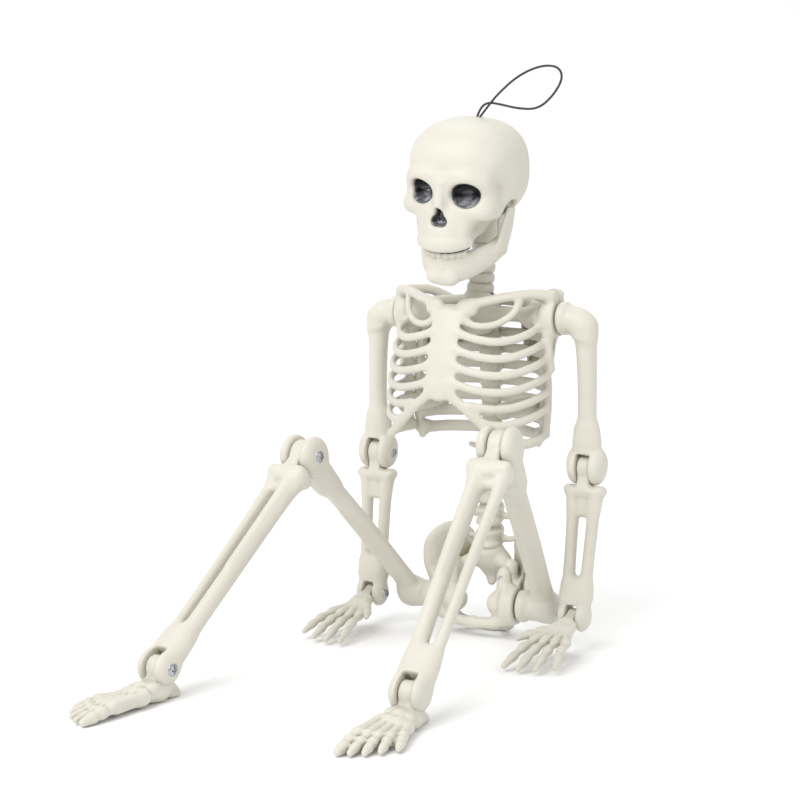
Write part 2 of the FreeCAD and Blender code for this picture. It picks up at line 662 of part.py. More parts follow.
def skull_shell():
    """The hollow brain case with the neck's socket and the jaw's bearings."""
    boss = neck_line(NECK_TOP + 0.4, NECK_TOP + 9.2, "socket_pin_radius + 4.2")
    bearings = [disc(side * 9, side * (size("jaw_hinge_x") - 0.4), "jaw_pin_radius + 1.9",
                     size("jaw_hinge_y"), size("jaw_hinge_z")) for side in SIDES.values()]
    pegs = [rod(point(side * 15.2, -8, 53), point(side * 15.2, 8, 53), "jaw_pin_radius + 1.5")
            for side in SIDES.values()]
    return fuse(cut(skull_egg(0), skull_egg(1)), *(common(p, skull_egg(0.5)) for p in pegs), boss,
                *(common(b, skull_egg(0.3)) for b in bearings))


def skull_cuts():
    top = NECK_TOP
    pin_bore = neck_line(top - 4, top + 9.3, "socket_pin_radius + bore_gap")
    flange_room = neck_line(top + 3.9, top + 6.4, "socket_pin_radius + 1.8 + bore_gap")
    ring_room = neck_line(top - 12, top + 0.35, "neck_radius + gap")
    jaw_room = [disc(side * (size("jaw_hinge_x") - 0.1), side * 30, "jaw_pin_radius + 4.9",
                     size("jaw_hinge_y"), size("jaw_hinge_z")) for side in SIDES.values()]
    jaw_bores = [disc(side * 8, side * 30, "jaw_pin_radius + bore_gap", size("jaw_hinge_y"),
                      size("jaw_hinge_z")) for side in SIDES.values()]
    return [pin_bore, flange_room, ring_room, *jaw_room, *jaw_bores]


def skull_front():
    """The front shell: forehead, face, cheek bones and upper teeth."""
    face = head_egg(point(0, -22, 27.5), "skull_width * 0.63", "skull_depth * 0.45", "skull_height * 0.74")
    cheeks = rod(point(-15.5, -20, 27.5), point(15.5, -20, 27.5), "skull_wall * 1.7")
    muzzle = head_egg(point(0, -27, 19.5), "skull_width * 0.48", "skull_depth * 0.36", "skull_height * 0.3")
    half = block(point(-FAR, -FAR, -FAR), point(FAR, 0, FAR))
    solid = common(fuse(skull_shell(), face, cheeks, muzzle), half)
    eyes = [head_egg(point(side * 9.6, -34, 37), "skull_width * 0.27", "skull_depth * 0.42",
                     "skull_height * 0.23") for side in SIDES.values()]
    nose = rod(point(0, -28, 29), point(0, -45, 27.5), "skull_wall * 1.3")
    throat = rod(point(0, 3, 8), point(0, -20, 17), "skull_wall * 3.6")
    cord_hole = rod(point(0.95, -3.65, 55), point(0.95, -3.65, 70), "cord_radius + 1.3")
    return cut(solid, *skull_cuts(), *eyes, nose, throat, cord_hole)


def skull_back():
    half = block(point(-FAR, 0, -FAR), point(FAR, FAR, FAR))
    return cut(common(skull_shell(), half), *skull_cuts())


def jaw():
    """The lower jaw: a bow with a squared chin, two upright branches and a hinge pin on each."""
    hinge_x, hinge_y, hinge_z = (size("jaw_hinge_" + axis) for axis in "xyz")
    pieces = [egg(point(0, -27, 7.3), "skull_width * 0.4", "skull_depth * 0.2", "skull_height * 0.25")]
    for side in SIDES.values():
        out = side * (hinge_x + 1.55)
        corner, chin = point(side * 15.5, -14, 12), point(side * 6, -27, 6.5)
        top = point(out, hinge_y, hinge_z + 1)
        pieces += [rod(point(out, hinge_y, hinge_z), point(side * 17.2, -13, 15), "fibula_radius - 1.1"),
                   rod(point(side * 17, -13, 15), corner, "fibula_radius - 1.1", "fibula_radius + 0.3"),
                   ball(corner, "fibula_radius + 0.35"),
                   rod(corner, chin, "fibula_radius + 0.2", "fibula_radius + 1"),
                   ball(top + point(z=-1), "fibula_radius - 1.05"),
                   disc(side * (hinge_x - 3.6), out, "jaw_pin_radius", hinge_y, hinge_z)]
    mouth = egg(point(0, -19, 12), "skull_width * 0.5", "skull_depth * 0.3", "skull_height * 0.3")
    return cut(fuse(*pieces), mouth)


# ---------------------------------------------------------------- hanging loop
LOOP_ROUTE = [(0, 0, -1.2), (1.2, 0.2, 2.6), (4.2, 0.8, 5.4), (9.5, 1.6, 4.6), (17, 2.4, 2.8), (25.5, 3, 2.4),
              (32, 3.2, 7.4), (36.5, 3, 14.2), (34.5, 2.6, 18.8), (27, 2, 19.2), (17.5, 1.4, 15.4),
              (9.2, 0.8, 8.6), (4.6, 0.4, 3.4), (1.4, -0.9, -1.2)]


def cord_path(points):
    """Straight runs joined by arcs; each arc's radius is 0.45 of its shorter run over tan(half turn)."""
    edges, radii = [], []
    start = points[0]
    for before, corner, after in zip(points, points[1:], points[2:]):
        arriving, leaving = corner - before, after - corner
        shorter = min(arriving.Length, leaving.Length)
        half_turn = arriving.getAngle(leaving) / 2
        set_back = 0.45 * shorter
        radius = set_back / math.tan(half_turn)
        first = corner - arriving.normalize() * set_back
        last = corner + leaving.normalize() * set_back
        chord_middle = (first + last) * 0.5
        inward = (chord_middle - corner).normalize()
        top = corner + inward * (radius / math.cos(half_turn) - radius)
        edges += [Part.LineSegment(start, first).toShape(), Part.Arc(first, top, last).toShape()]
        radii.append(round(radius, 1))
        start = last
    edges.append(Part.LineSegment(start, points[-1]).toShape())
    return Part.Wire(edges), radii


def hanging_loop(crown):
    """The cord's solid: a round tube along the route, which starts and ends at the hole in the crown."""
    route = [crown + Vector(*corner) for corner in LOOP_ROUTE]
    path, radii = cord_path(route)
    radius = size("cord_radius")
    first = path.Edges[0]
    disc_wire = Part.Wire(Part.makeCircle(radius, route[0], first.tangentAt(first.FirstParameter)))
    tube = path.makePipeShell([disc_wire], True, False)
    print("hanging loop: radii", radii, "length", round(path.Length, 1), "volume", round(tube.Volume, 2),
          "section x length", round(math.pi * radius ** 2 * path.Length, 2))
    thing = doc.addObject("Part::Feature", "loop")
    thing.Shape = tube
    return thing


sub_part("ribcage_front", ribcage_front())
sub_part("ribcage_back", ribcage_back())
sub_part("ribcage_screws", back_screws(POSTS, SPLIT_Y - 7, SPLIT_Y + 12))
sub_part("lumbar_spine", lumbar_spine())
sub_part("pelvis_front", pelvis_front())
sub_part("pelvis_back", pelvis_back())
sub_part("pelvis_screws", back_screws(PELVIS_POSTS, SPLIT_Y - 3, SPLIT_Y + 6))
sub_part("neck", neck(), NECK_FRAME)
sub_part("skull_front", skull_front(), HEAD_FRAME)
sub_part("skull_back", skull_back(), HEAD_FRAME)
sub_part("jaw", jaw(), HEAD_FRAME)
sub_part("hanging_loop", hanging_loop(HEAD_FRAME.multVec(point(0, -3.2, 63))))

doc.recompute()


# ---------------------------------------------------------------- checks and export
for thing in doc.Objects:
    if "Invalid" in thing.State or "Error" in thing.State:
        raise RuntimeError(f"{thing.Label} ({thing.Name}) did not compute: {thing.getStatusString()}")
os.makedirs("parts", exist_ok=True)
for thing in sub_parts:
    shape = thing.Shape
    if shape.isNull() or not shape.isValid() or not shape.Solids:
        raise RuntimeError(f"{thing.Label} has no valid solid")
    print(f"{thing.Label}: {len(shape.Solids)} solid(s), {shape.Volume:.0f} mm3")
    shape.exportStep(f"parts/{thing.Label}.step")
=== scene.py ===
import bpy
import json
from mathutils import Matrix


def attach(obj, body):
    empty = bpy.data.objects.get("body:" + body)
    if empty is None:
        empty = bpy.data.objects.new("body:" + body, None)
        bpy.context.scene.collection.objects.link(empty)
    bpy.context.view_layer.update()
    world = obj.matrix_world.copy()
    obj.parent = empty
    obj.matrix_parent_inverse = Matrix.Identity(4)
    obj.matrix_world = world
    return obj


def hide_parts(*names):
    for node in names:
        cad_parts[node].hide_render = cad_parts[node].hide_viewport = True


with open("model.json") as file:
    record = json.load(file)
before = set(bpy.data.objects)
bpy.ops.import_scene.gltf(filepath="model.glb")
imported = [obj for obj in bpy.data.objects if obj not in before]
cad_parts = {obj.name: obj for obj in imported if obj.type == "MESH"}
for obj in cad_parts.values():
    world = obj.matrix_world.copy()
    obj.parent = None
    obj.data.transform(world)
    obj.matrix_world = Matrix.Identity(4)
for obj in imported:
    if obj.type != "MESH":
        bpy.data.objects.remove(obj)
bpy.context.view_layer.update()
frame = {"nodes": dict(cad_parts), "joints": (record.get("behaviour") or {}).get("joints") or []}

import copy
import json
import math

import bpy
import numpy as np
import openvdb
from mathutils import Matrix, Vector

# Everything is sculpted in millimetres, in each bone's own frame: origin on the joint nearer the
# trunk, bone along -Z, x outward on the left side, -y to the front.  Meshes are scaled to metres.
MM = 0.001
JOINTS = {joint["name"]: joint for joint in frame["joints"]}
SIDES = {"left": 1, "right": -1}


# ---------- frames taken from the joints
def joint_point(name):
    return np.array(JOINTS[name]["pos_m"], float)


def axes_frame(origin, x_axis, z_axis):
    """A 4x4 matrix from its origin, its x axis and roughly its z axis."""
    x = np.array(x_axis, float) / np.linalg.norm(x_axis)
    z = np.array(z_axis, float) - x * np.dot(z_axis, x)
    z /= np.linalg.norm(z)
    made = np.eye(4)
    made[:3, 0], made[:3, 1], made[:3, 2], made[:3, 3] = x, np.cross(z, x), z, origin
    return made


def bone_frame(near, far):
    """The frame of the bone between two joints."""
    start, end = joint_point(near), joint_point(far)
    return axes_frame(start, JOINTS[near]["axis"], start - end)


HAND_LENGTH, FINGERTIP_HEIGHT = 45.0, 2.2


def hand_frame(name):
    """The hand droops from the wrist until the fingertips reach the floor."""
    wrist = joint_point(name + "_wrist")
    droop = math.asin((wrist[2] / MM - FINGERTIP_HEIGHT) / HAND_LENGTH)
    back = (0, math.cos(droop), math.sin(droop))
    return axes_frame(wrist, JOINTS[name + "_wrist"]["axis"], back)


HEAD_NOD = math.radians(12.0)
HEAD_RISE = 10.3 * MM  # the head's origin, up the neck from its foot


def head_frame():
    neck = np.array(JOINTS["head_turn"]["axis"], float)
    side = np.array(JOINTS["jaw_hinge"]["axis"], float)
    up = neck * math.cos(HEAD_NOD) - np.cross(neck, side) * math.sin(HEAD_NOD)
    return axes_frame(joint_point("head_turn") + neck * HEAD_RISE, side, up)


NECK_FRAME = axes_frame(joint_point("head_turn"), JOINTS["jaw_hinge"]["axis"], JOINTS["head_turn"]["axis"])
HEAD_FRAME = head_frame()
TORSO_Y = joint_point("left_shoulder")[1] / MM
TORSO_FRAME = np.eye(4)
TORSO_FRAME[1, 3] = TORSO_Y * MM


# ---------- clay: shapes as signed distances
FAR = 9.0  # the distance that empty clay holds, in millimetres


class Clay:
    """A lump of clay on a regular grid of signed distances in millimetres, negative inside."""

    def __init__(self, low, high, voxel):
        self.voxel = voxel
        self.axes = [np.arange(a, b + voxel, voxel, dtype=np.float32) for a, b in zip(low, high)]
        self.field = np.full([len(a) for a in self.axes], FAR, np.float32)

    def window(self, low, high):
        cuts = [slice(*np.searchsorted(axis, (a, b))) for axis, a, b in zip(self.axes, low, high)]
        x, y, z = (axis[cut] for axis, cut in zip(self.axes, cuts))
        return tuple(cuts), x[:, None, None], y[None, :, None], z[None, None, :]

    def add(self, shape, blend=0.0, sign=1):
        distance, low, high = shape
        cuts, x, y, z = self.window(low - blend * 2 - 1, high + blend * 2 + 1)
        if 0 not in self.field[cuts].shape:
            self.field[cuts] = sign * soft_min(sign * self.field[cuts], distance(x, y, z), blend)
        return self

    def carve(self, shape, blend=0.0):
        return self.add(shape, blend, -1)

    def keep(self, shape, blend=0.0):
        """Takes away all that lies outside the shape."""
        self.field = -soft_min(-self.field, -shape[0](*np.ix_(*self.axes)), blend)
        return self


def soft_min(a, b, blend):
    if blend <= 0:
        return np.minimum(a, b)
    overlap = np.maximum(blend - np.abs(a - b), 0) / blend
    return np.minimum(a, b) - overlap * overlap * (blend / 4)


def turn(rx=0.0, ry=0.0, rz=0.0):
    """A rotation matrix from degrees about X, then Y, then Z."""
    made = Matrix.Rotation(math.radians(rz), 3, "Z") @ Matrix.Rotation(math.radians(ry), 3, "Y")
    return np.array(made @ Matrix.Rotation(math.radians(rx), 3, "X"))


def local(x, y, z, centre, rotation):
    """The points as seen from centre, along the rotation's own axes."""
    x, y, z = x - centre[0], y - centre[1], z - centre[2]
    if rotation is None:
        return x, y, z
    return tuple(x * axis[0] + y * axis[1] + z * axis[2] for axis in rotation.T)


def egg(centre, radii, rotation=None):
    """An ellipsoid."""
    centre, radii = np.array(centre, float), np.array(radii, float)
    reach = radii if rotation is None else np.full(3, radii.max())

    def distance(x, y, z):
        u, v, w = local(x, y, z, centre, rotation)
        near = np.sqrt((u / radii[0]) ** 2 + (v / radii[1]) ** 2 + (w / radii[2]) ** 2)
        slope = np.sqrt((u / radii[0] ** 2) ** 2 + (v / radii[1] ** 2) ** 2 + (w / radii[2] ** 2) ** 2)
        return near * (near - 1) / np.maximum(slope, 1e-4)

    return distance, centre - reach, centre + reach


def pillow(centre, radii, power):
    """An ellipsoid made squarer by a power above 2."""
    centre, radii = np.array(centre, float), np.array(radii, float)

    def distance(x, y, z):
        sides = [np.abs(c) / r + 1e-6 for c, r in zip((x - centre[0], y - centre[1], z - centre[2]), radii)]
        near = sum(side ** power for side in sides) ** (1 / power)
        slope = np.sqrt(sum((side ** (power - 1) / r) ** 2 for side, r in zip(sides, radii)))
        return (near - 1) * near ** (power - 1) / slope

    return distance, centre - radii, centre + radii


def brick(centre, half, rounding=0.5, rotation=None):
    """A box with rounded edges; half holds its outer half sizes."""
    centre, half = np.array(centre, float), np.array(half, float)
    reach = half if rotation is None else np.full(3, np.linalg.norm(half))

    def distance(x, y, z):
        sides = [np.abs(c) - (h - rounding) for c, h in zip(local(x, y, z, centre, rotation), half)]
        outside = np.sqrt(sum(np.maximum(s, 0) ** 2 for s in sides))
        inside = np.minimum(np.maximum(np.maximum(sides[0], sides[1]), sides[2]), 0)
        return outside + inside - rounding

    return distance, centre - reach, centre + reach


def drum(centre, radius, half_width, rounding=0.6, rotation=None):
    """A short round bar along its own x axis, with rounded rims."""
    centre = np.array(centre, float)
    reach = np.array([half_width, radius, radius]) if rotation is None else np.full(3, radius + half_width)

    def distance(x, y, z):
        u, v, w = local(x, y, z, centre, rotation)
        across = np.sqrt(v * v + w * w) - (radius - rounding)
        along = np.abs(u) - (half_width - rounding)
        outside = np.sqrt(np.maximum(across, 0) ** 2 + np.maximum(along, 0) ** 2)
        return outside + np.minimum(np.maximum(across, along), 0) - rounding

    return distance, centre - reach, centre + reach


def bar(start, end, first, last, wide=None):
    """A tapering bar. first and last are radii, or (along wide, across) half sizes when wide is given."""
    start, end = np.array(start, float), np.array(end, float)
    length = max(np.linalg.norm(end - start), 1e-6)
    ahead = (end - start) / length
    first, last = np.broadcast_to(first, 2).astype(float), np.broadcast_to(last, 2).astype(float)
    if wide is None:
        wide = np.array([1.0, 0, 0]) if abs(ahead[0]) < 0.9 else np.array([0, 1.0, 0])
    wide = np.array(wide, float) - ahead * np.dot(wide, ahead)
    wide /= np.linalg.norm(wide)
    axes = np.column_stack((wide, np.cross(ahead, wide), ahead))
    reach = max(first.max(), last.max())

    def distance(x, y, z):
        u, v, along = local(x, y, z, start, axes)
        share = np.clip(along / length, 0, 1)
        beyond = along - share * length
        half_u = first[0] + (last[0] - first[0]) * share
        half_v = first[1] + (last[1] - first[1]) * share
        thin = np.minimum(half_u, half_v)
        return (np.sqrt((u / half_u) ** 2 + (v / half_v) ** 2 + (beyond / thin) ** 2) - 1) * thin

    low, high = np.minimum(start, end) - reach, np.maximum(start, end) + reach
    return distance, low, high


def curve(points, steps=6):
    """Points along a smooth line through the given ones; any extra columns are smoothed too."""
    points = np.array(points, float)
    padded = np.vstack([2 * points[0] - points[1], points, 2 * points[-1] - points[-2]])
    made = []
    for a, b, c, d in zip(padded, padded[1:], padded[2:], padded[3:]):
        for share in np.arange(steps) / steps:
            made.append(0.5 * (2 * b + (c - a) * share + (2 * a - 5 * b + 4 * c - d) * share ** 2
                               + (3 * b - a - 3 * c + d) * share ** 3))
    return np.array(made + [points[-1]])


def strand(clay, points, blend=0.0, steps=6, wide=None, side=1):
    """A smooth bar through points (x, y, z, half size[, other half size])."""
    path = curve([(side * x, *rest) for x, *rest in points], steps)
    parts = [bar(a[:3], b[:3], a[3:], b[3:], wide) for a, b in zip(path, path[1:])]
    around = blend * 2 + 1
    low = np.min([part[1] for part in parts], 0)
    high = np.max([part[2] for part in parts], 0)
    cuts = clay.window(low - around, high + around)[0]
    whole = np.full(clay.field[cuts].shape, FAR, np.float32)
    starts = [cut.start for cut in cuts]
    for distance, part_low, part_high in parts:
        inner, x, y, z = clay.window(part_low - around, part_high + around)
        at = tuple(slice(cut.start - start, cut.stop - start) for cut, start in zip(inner, starts))
        if 0 not in whole[at].shape:
            whole[at] = np.minimum(whole[at], distance(x, y, z))
    clay.field[cuts] = soft_min(clay.field[cuts], whole, blend)
    return clay


# ---------- clay to mesh
def blurred(field, cells):
    """The field averaged over a cube of 2 * cells + 1 cells."""
    for axis in range(3):
        padded = np.concatenate([np.repeat(field.take([0], axis), cells + 1, axis), field,
                                 np.repeat(field.take([-1], axis), cells, axis)], axis)
        total = np.cumsum(padded, axis, dtype=np.float64)
        width = 2 * cells + 1
        count = field.shape[axis]
        field = ((total.take(range(width, width + count), axis) - total.take(range(count), axis))
                 / width).astype(np.float32)
    return field


HOLLOW_REACH, HOLLOW_FULL = 1.5, 0.34  # how far round a point the hollow is felt, and its deepest value


def hollows(field, voxel, points):
    """How hollow the clay is at each point: 1 in its creases, -1 on its sharp ridges."""
    near = np.clip(field, -2 * HOLLOW_REACH, 2 * HOLLOW_REACH)
    excess = blurred(near - blurred(near, max(1, round(HOLLOW_REACH / voxel))), 1)
    at = np.clip(np.rint(points).astype(int), 0, np.array(field.shape) - 1)
    return np.clip(excess[at[:, 0], at[:, 1], at[:, 2]] / HOLLOW_FULL, -1, 1)


def placed(name, data):
    """A new object that holds the data, in the scene."""
    piece = bpy.data.objects.new(name, data)
    bpy.context.scene.collection.objects.link(piece)
    return piece


def quad_mesh(name, points, quads):
    mesh = bpy.data.meshes.new(name)
    mesh.vertices.add(len(points))
    mesh.vertices.foreach_set("co", points.astype(np.float32).ravel())
    mesh.loops.add(quads.size)
    mesh.loops.foreach_set("vertex_index", quads.astype(np.int32).ravel())
    mesh.polygons.add(len(quads))
    mesh.polygons.foreach_set("loop_start", np.arange(0, quads.size, 4, dtype=np.int32))
    mesh.update(calc_edges=True)
    mesh.validate()
    mesh.polygons.foreach_set("use_smooth", np.ones(len(mesh.polygons), bool))
    return mesh


BAND = 3.0  # how far from the surface, in millimetres, the mesher is told the distance


def mesh_of(name, clay, frame_matrix, mirror=1):
    """A smooth mesh of the clay's surface, with how hollow each point lies in the attribute 'hollow'."""
    field = np.clip(clay.field, -BAND, BAND)
    grid = openvdb.FloatGrid(BAND)
    grid.copyFromArray(field)
    points, quads = grid.convertToQuads(0.0)
    hollow = hollows(field, clay.voxel, points)
    points = points * clay.voxel + np.array([axis[0] for axis in clay.axes])
    points[:, 0] *= mirror
    quads = quads[:, ::-1] if mirror > 0 else quads
    world = points * MM @ frame_matrix[:3, :3].T + frame_matrix[:3, 3]
    mesh = quad_mesh(name, world, quads)
    # the 'hollow' attribute is the mask by which the bone material paints shade into the creases
    layer = mesh.attributes.new("hollow", "FLOAT", "POINT")
    layer.data.foreach_set("value", hollow.astype(np.float32))
    return placed(name, mesh)


def show(piece, body, nodes, material):
    piece.data.materials.append(material)
    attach(piece, body)
    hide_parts(*nodes)
    return piece


# ---------- joint forms shared by the bones
GAP = 0.35  # between two pieces that move past each other
JOINT_SIZES = {  # ear radius, half width over both ears, half width of the tongue
    "knee": (7.6, 7.4, 2.9), "ankle": (6.0, 6.4, 2.7), "elbow": (6.4, 6.8, 2.6), "wrist": (5.0, 5.8, 2.1)}
SIDEWAYS, FLAT_PLATE, UPWARD = (1, 0, 0), (0, 1, 0), (0, 0, 1)  # the ways a flat bar may be wide


def ears(clay, joint, at, neck_half, rise):
    """A fork for the next bone's tongue: two rounded ears under a flared neck."""
    radius, half, _ = JOINT_SIZES[joint]
    at = np.array(at, float)
    clay.add(bar(at + (0, 0, 1), at + (0, 0, rise), (half - 0.4, radius * 0.78), neck_half, SIDEWAYS), 3)
    clay.add(drum(at + (0, 0, 0.3), radius * 0.95, half, 2.6), 3)
    for side in (-1, 1):
        clay.add(egg(at + (side * (half - 2.4), 0, -0.6), (2.4, radius * 0.97, radius * 0.95)), 2)


def fork_slot(clay, joint, at):
    """Room for the tongue between the ears, and the screw's hole through the inner ear."""
    radius, half, tongue_half = JOINT_SIZES[joint]
    at = np.array(at, float)
    room = (tongue_half + GAP, radius * 2, radius * 1.5 - 0.2)
    clay.carve(brick(at + (0, 0, -radius / 2 - 0.2), room, 0.5), 0.5)
    return clay.carve(drum(at - (2.1, 0, 0), 1.1, half + 0.9, 0.2))


def eye_and_web(clay, joint, reach):
    """The tongue that goes into the fork above: a round eye and the web below it."""
    radius, _, tongue_half = JOINT_SIZES[joint]
    clay.add(drum((0, 0, 0), radius - 1.5, tongue_half, 0.7))
    return clay.add(brick((0, 0, -reach / 2), (tongue_half, radius * 0.55, reach / 2), 0.8), 0.6)


# ---------- legs
KNEE_OUT, FEMUR, SHIN = 16.6, 94.0, 107.8
FINE, MIDDLE, COARSE = 0.46, 0.62, 0.72  # voxel sizes


def femur_clay():
    clay = Clay((-2, -11, -FEMUR - 10), (27, 11, 10), COARSE)
    clay.add(bar((0.8, 0, 0), (12, 0, 0), 6.0, 5.2))
    clay.add(drum((2.2, 0, 0), 6.6, 1.7, 0.8), 1.2)
    clay.add(drum((14.2, 0, -0.4), 5.5, 3.7, 2.6), 3)
    clay.add(egg((15.5, 0.6, 2.6), (2.6, 3.2, 3.4)), 2.5)
    strand(clay, [(12.4, 0, -1, 5.2, 4.7), (12.8, -0.4, -14, 4.8, 3.6), (13.9, -0.8, -36, 5.1, 3.4),
                  (15.0, -0.7, -58, 5.1, 3.4), (15.9, -0.3, -74, 5.2, 3.8), (16.4, 0, -84, 5.8, 4.6)], 4,
           wide=SIDEWAYS)
    strand(clay, [(13.4, 3.0, -16, 0.7), (14.4, 2.7, -38, 0.8), (15.4, 2.8, -60, 0.6)], 3)
    ears(clay, "knee", (KNEE_OUT, 0, -FEMUR), (5.6, 4.7), 19)
    clay.carve(drum((0, 0, 0), 12, 2 * GAP, 0.1), 0.4)
    return fork_slot(clay, "knee", (KNEE_OUT, 0, -FEMUR))


def shin_clay():
    clay = Clay((-12, -10, -SHIN - 9), (12, 10, 9), COARSE)
    eye_and_web(clay, "knee", 9.6)
    clay.add(brick((0, 0, -11.6), (8.8, 4.9, 2.5), 1.9), 1.2)
    clay.add(egg((-4.6, -0.8, -11.0), (4.4, 4.6, 2.9)), 1.5)
    clay.add(egg((5.0, -0.2, -11.6), (3.9, 4.2, 3.0)), 1.5)
    clay.add(bar((-0.2, 0, -12.5), (-0.2, 0, -17.5), (7.4, 4.0), (6.2, 2.6), SIDEWAYS), 2.5)
    strand(clay, [(-3.6, -0.2, -13, 4.6, 4.4), (-3.9, -0.3, -24, 3.4, 3.9), (-3.8, -0.4, -52, 3.1, 3.7),
                  (-3.3, -0.2, -84, 3.1, 3.6), (-2.9, 0, -99, 3.8, 4.0)], 2.2, wide=SIDEWAYS)
    strand(clay, [(5.7, 0.2, -14, 3.1, 3.2), (5.6, 0.3, -24, 2.3, 2.6), (5.0, 0.3, -52, 2.0, 2.4),
                  (4.6, 0.2, -84, 2.1, 2.4), (4.2, 0, -99, 2.8, 2.9)], 1.6, wide=SIDEWAYS)
    clay.add(bar((0.3, 0, -96), (0.2, 0, -102), (5.4, 3.2), (6.0, 4.6), SIDEWAYS), 2.5)
    strand(clay, [(-3.9, -3.6, -14, 0.7), (-4.1, -3.6, -34, 0.7), (-3.9, -3.5, -60, 0.5)], 2.5)
    ears(clay, "ankle", (0, 0, -SHIN), (5.6, 4.3), 15)
    return fork_slot(clay, "ankle", (0, 0, -SHIN))


SOLE = -12.0
TOE_SPLAY = 0.075  # how far the toes drift outward for each millimetre forward


def foot_clay():
    """Heel, tarsal block, five metatarsals under a web, and five knobbly toes, the big toe on the inside."""
    clay = Clay((-14, -48, -13), (16, 12, 7), FINE)
    eye_and_web(clay, "ankle", 7.6)
    clay.add(bar((0, 0.5, -5), (0, -3, -8.2), (3.6, 3.6), (5.6, 3.8), SIDEWAYS), 2)
    clay.add(bar((0, -1, -7.6), (0.2, -14, -8.2), (5.2, 4.2), (6.7, 3.4), SIDEWAYS), 3)
    strand(clay, [(0, 0, -7.4, 3.9, 3.6), (0.1, 3.8, -8.2, 3.4, 3.2), (0.2, 6.2, -9.6, 3.5, 2.3)], 2.5,
           wide=SIDEWAYS)
    clay.add(brick((0.2, 5.2, -10.9), (3.7, 2.9, 1.1), 0.9), 1.2)
    clay.add(bar((0.4, -13, -9.0), (1.4, -27, -9.9), (6.8, 2.5), (8.6, 1.5), SIDEWAYS), 2)
    for *at, size in ((-3.9, -7, -5.5, 2.3), (0.4, -9.6, -4.9, 2.2), (4.0, -8.6, -6.3, 2.2),
                      (-4.6, -13, -6.3, 2.1), (-1.2, -14, -5.8, 1.9), (2.6, -14, -6.3, 1.9)):
        clay.add(egg(at, (size, size * 1.2, size * 0.8)), 1.2)
    for number, thick in enumerate((2.35, 1.85, 1.8, 1.75, 1.75)):
        across = -7.6 + 3.9 * number
        tip_y = -43.9 + number * number * 0.75
        root = np.array((across * 0.72, -13.0, -7.4 - 0.28 * number))
        tip = np.array((across * 1.12 - TOE_SPLAY * tip_y, tip_y + 0.6, SOLE + 1.9))
        ball_at = root + (tip - root) * 0.52 + (0, 0, 0.9)
        first, second = ball_at + (tip - ball_at) * 0.4, ball_at + (tip - ball_at) * 0.7
        strand(clay, [(*root, thick * 0.95), (*(root * 0.5 + ball_at * 0.5 + (0, 0, 0.5)), thick * 0.78),
                      (*ball_at, thick * 1.08), (*(ball_at * 0.55 + first * 0.45), thick * 0.82),
                      (*first, thick * 1.02), (*(first * 0.5 + second * 0.5), thick * 0.8),
                      (*second, thick * 0.95), (*tip, thick * 0.62)], 0.8, steps=4)
        for knuckle in (ball_at, first):
            clay.add(egg(knuckle + (0, 0, 0.5), (thick * 0.95, thick * 0.9, thick * 0.85)), 0.8)
    clay.carve(drum((0, 0, 0), 1.1, 9, 0.2))
    return clay.carve(brick((0, -20, SOLE - 5), (40, 60, 5), 0.1), 0.8)


# ---------- arms
ARM_OUT, HUMERUS, FOREARM = 11.4, 59.8, 59.9


def humerus_clay():
    clay = Clay((-2, -9, -HUMERUS - 9), (21, 9, 9), COARSE)
    clay.add(bar((1.2, 0, 0), (7, 0, -0.6), 6.2, 5.2))
    clay.add(drum((2.3, 0, 0), 6.5, 1.4, 0.9), 1.5)
    clay.add(egg((9.2, 0, -2.2), (5.2, 5.2, 5.4)), 2.5)
    clay.add(egg((12.8, -0.5, -5.4), (3.1, 3.7, 5.2)), 2.5)
    strand(clay, [(10.9, 0, -3, 5.0, 4.9), (11.6, 0, -12, 4.2, 4.1), (11.8, 0, -27, 3.8, 3.8),
                  (11.6, 0, -41, 3.9, 3.7), (11.4, 0, -49, 4.8, 3.9)], 2.5, wide=SIDEWAYS)
    strand(clay, [(8.2, -3.8, -6.6, 0.8), (12.4, -3.9, -7.6, 0.9), (14.6, -2.4, -8.6, 0.6)], 1.6)
    ears(clay, "elbow", (ARM_OUT, 0, -HUMERUS), (4.9, 3.9), 15)
    for side in (-1, 1):
        clay.add(egg((ARM_OUT + side * 5.2, 0, -HUMERUS + 2.6), (2.6, 4.2, 4.6)), 2)
    clay.carve(drum((0, 0, 0), 12, 2 * GAP, 0.1), 0.4)
    return fork_slot(clay, "elbow", (ARM_OUT, 0, -HUMERUS))


def forearm_clay():
    clay = Clay((-11, -8, -FOREARM - 8), (11, 8, 8), MIDDLE)
    eye_and_web(clay, "elbow", 8.6)
    strand(clay, [(-7.0, 0, -8.9, 2.0, 3.4), (-3.4, 0, -9.5, 1.8, 3.4), (0, 0, -9.2, 1.9, 3.5),
                  (3.4, 0, -9.5, 1.8, 3.4), (7.0, 0, -8.9, 2.0, 3.4)], 1.2, wide=UPWARD)
    clay.add(bar((0, 0, -10), (0, 0, -18), (6.9, 3.1), (6.0, 2.0), SIDEWAYS), 2)
    for side in (-1, 1):
        strand(clay, [(5.1, 0, -11, 2.7, 3.2), (4.5, 0, -19, 2.5, 2.8), (4.1, 0, -34, 2.35, 2.7),
                      (3.8, 0, -46, 2.5, 2.8), (3.6, 0, -51, 2.9, 3.2)], 1.4, wide=SIDEWAYS, side=side)
    clay.add(bar((0, 0, -46.5), (0, 0, -52), (4.2, 2.2), (5.4, 3.6), SIDEWAYS), 2.5)
    ears(clay, "wrist", (0, 0, -FOREARM), (5.1, 3.4), 12)
    return fork_slot(clay, "wrist", (0, 0, -FOREARM))


def chain(joints, thick, waists):
    """Points for strand(): the joints' own sizes, with a thinner waist halfway between each two."""
    points = [(*joints[0], thick[0])]
    for a, b, size, waist in zip(joints, joints[1:], thick[1:], waists):
        points += [(*((a + b) / 2), waist), (*b, size)]
    return points


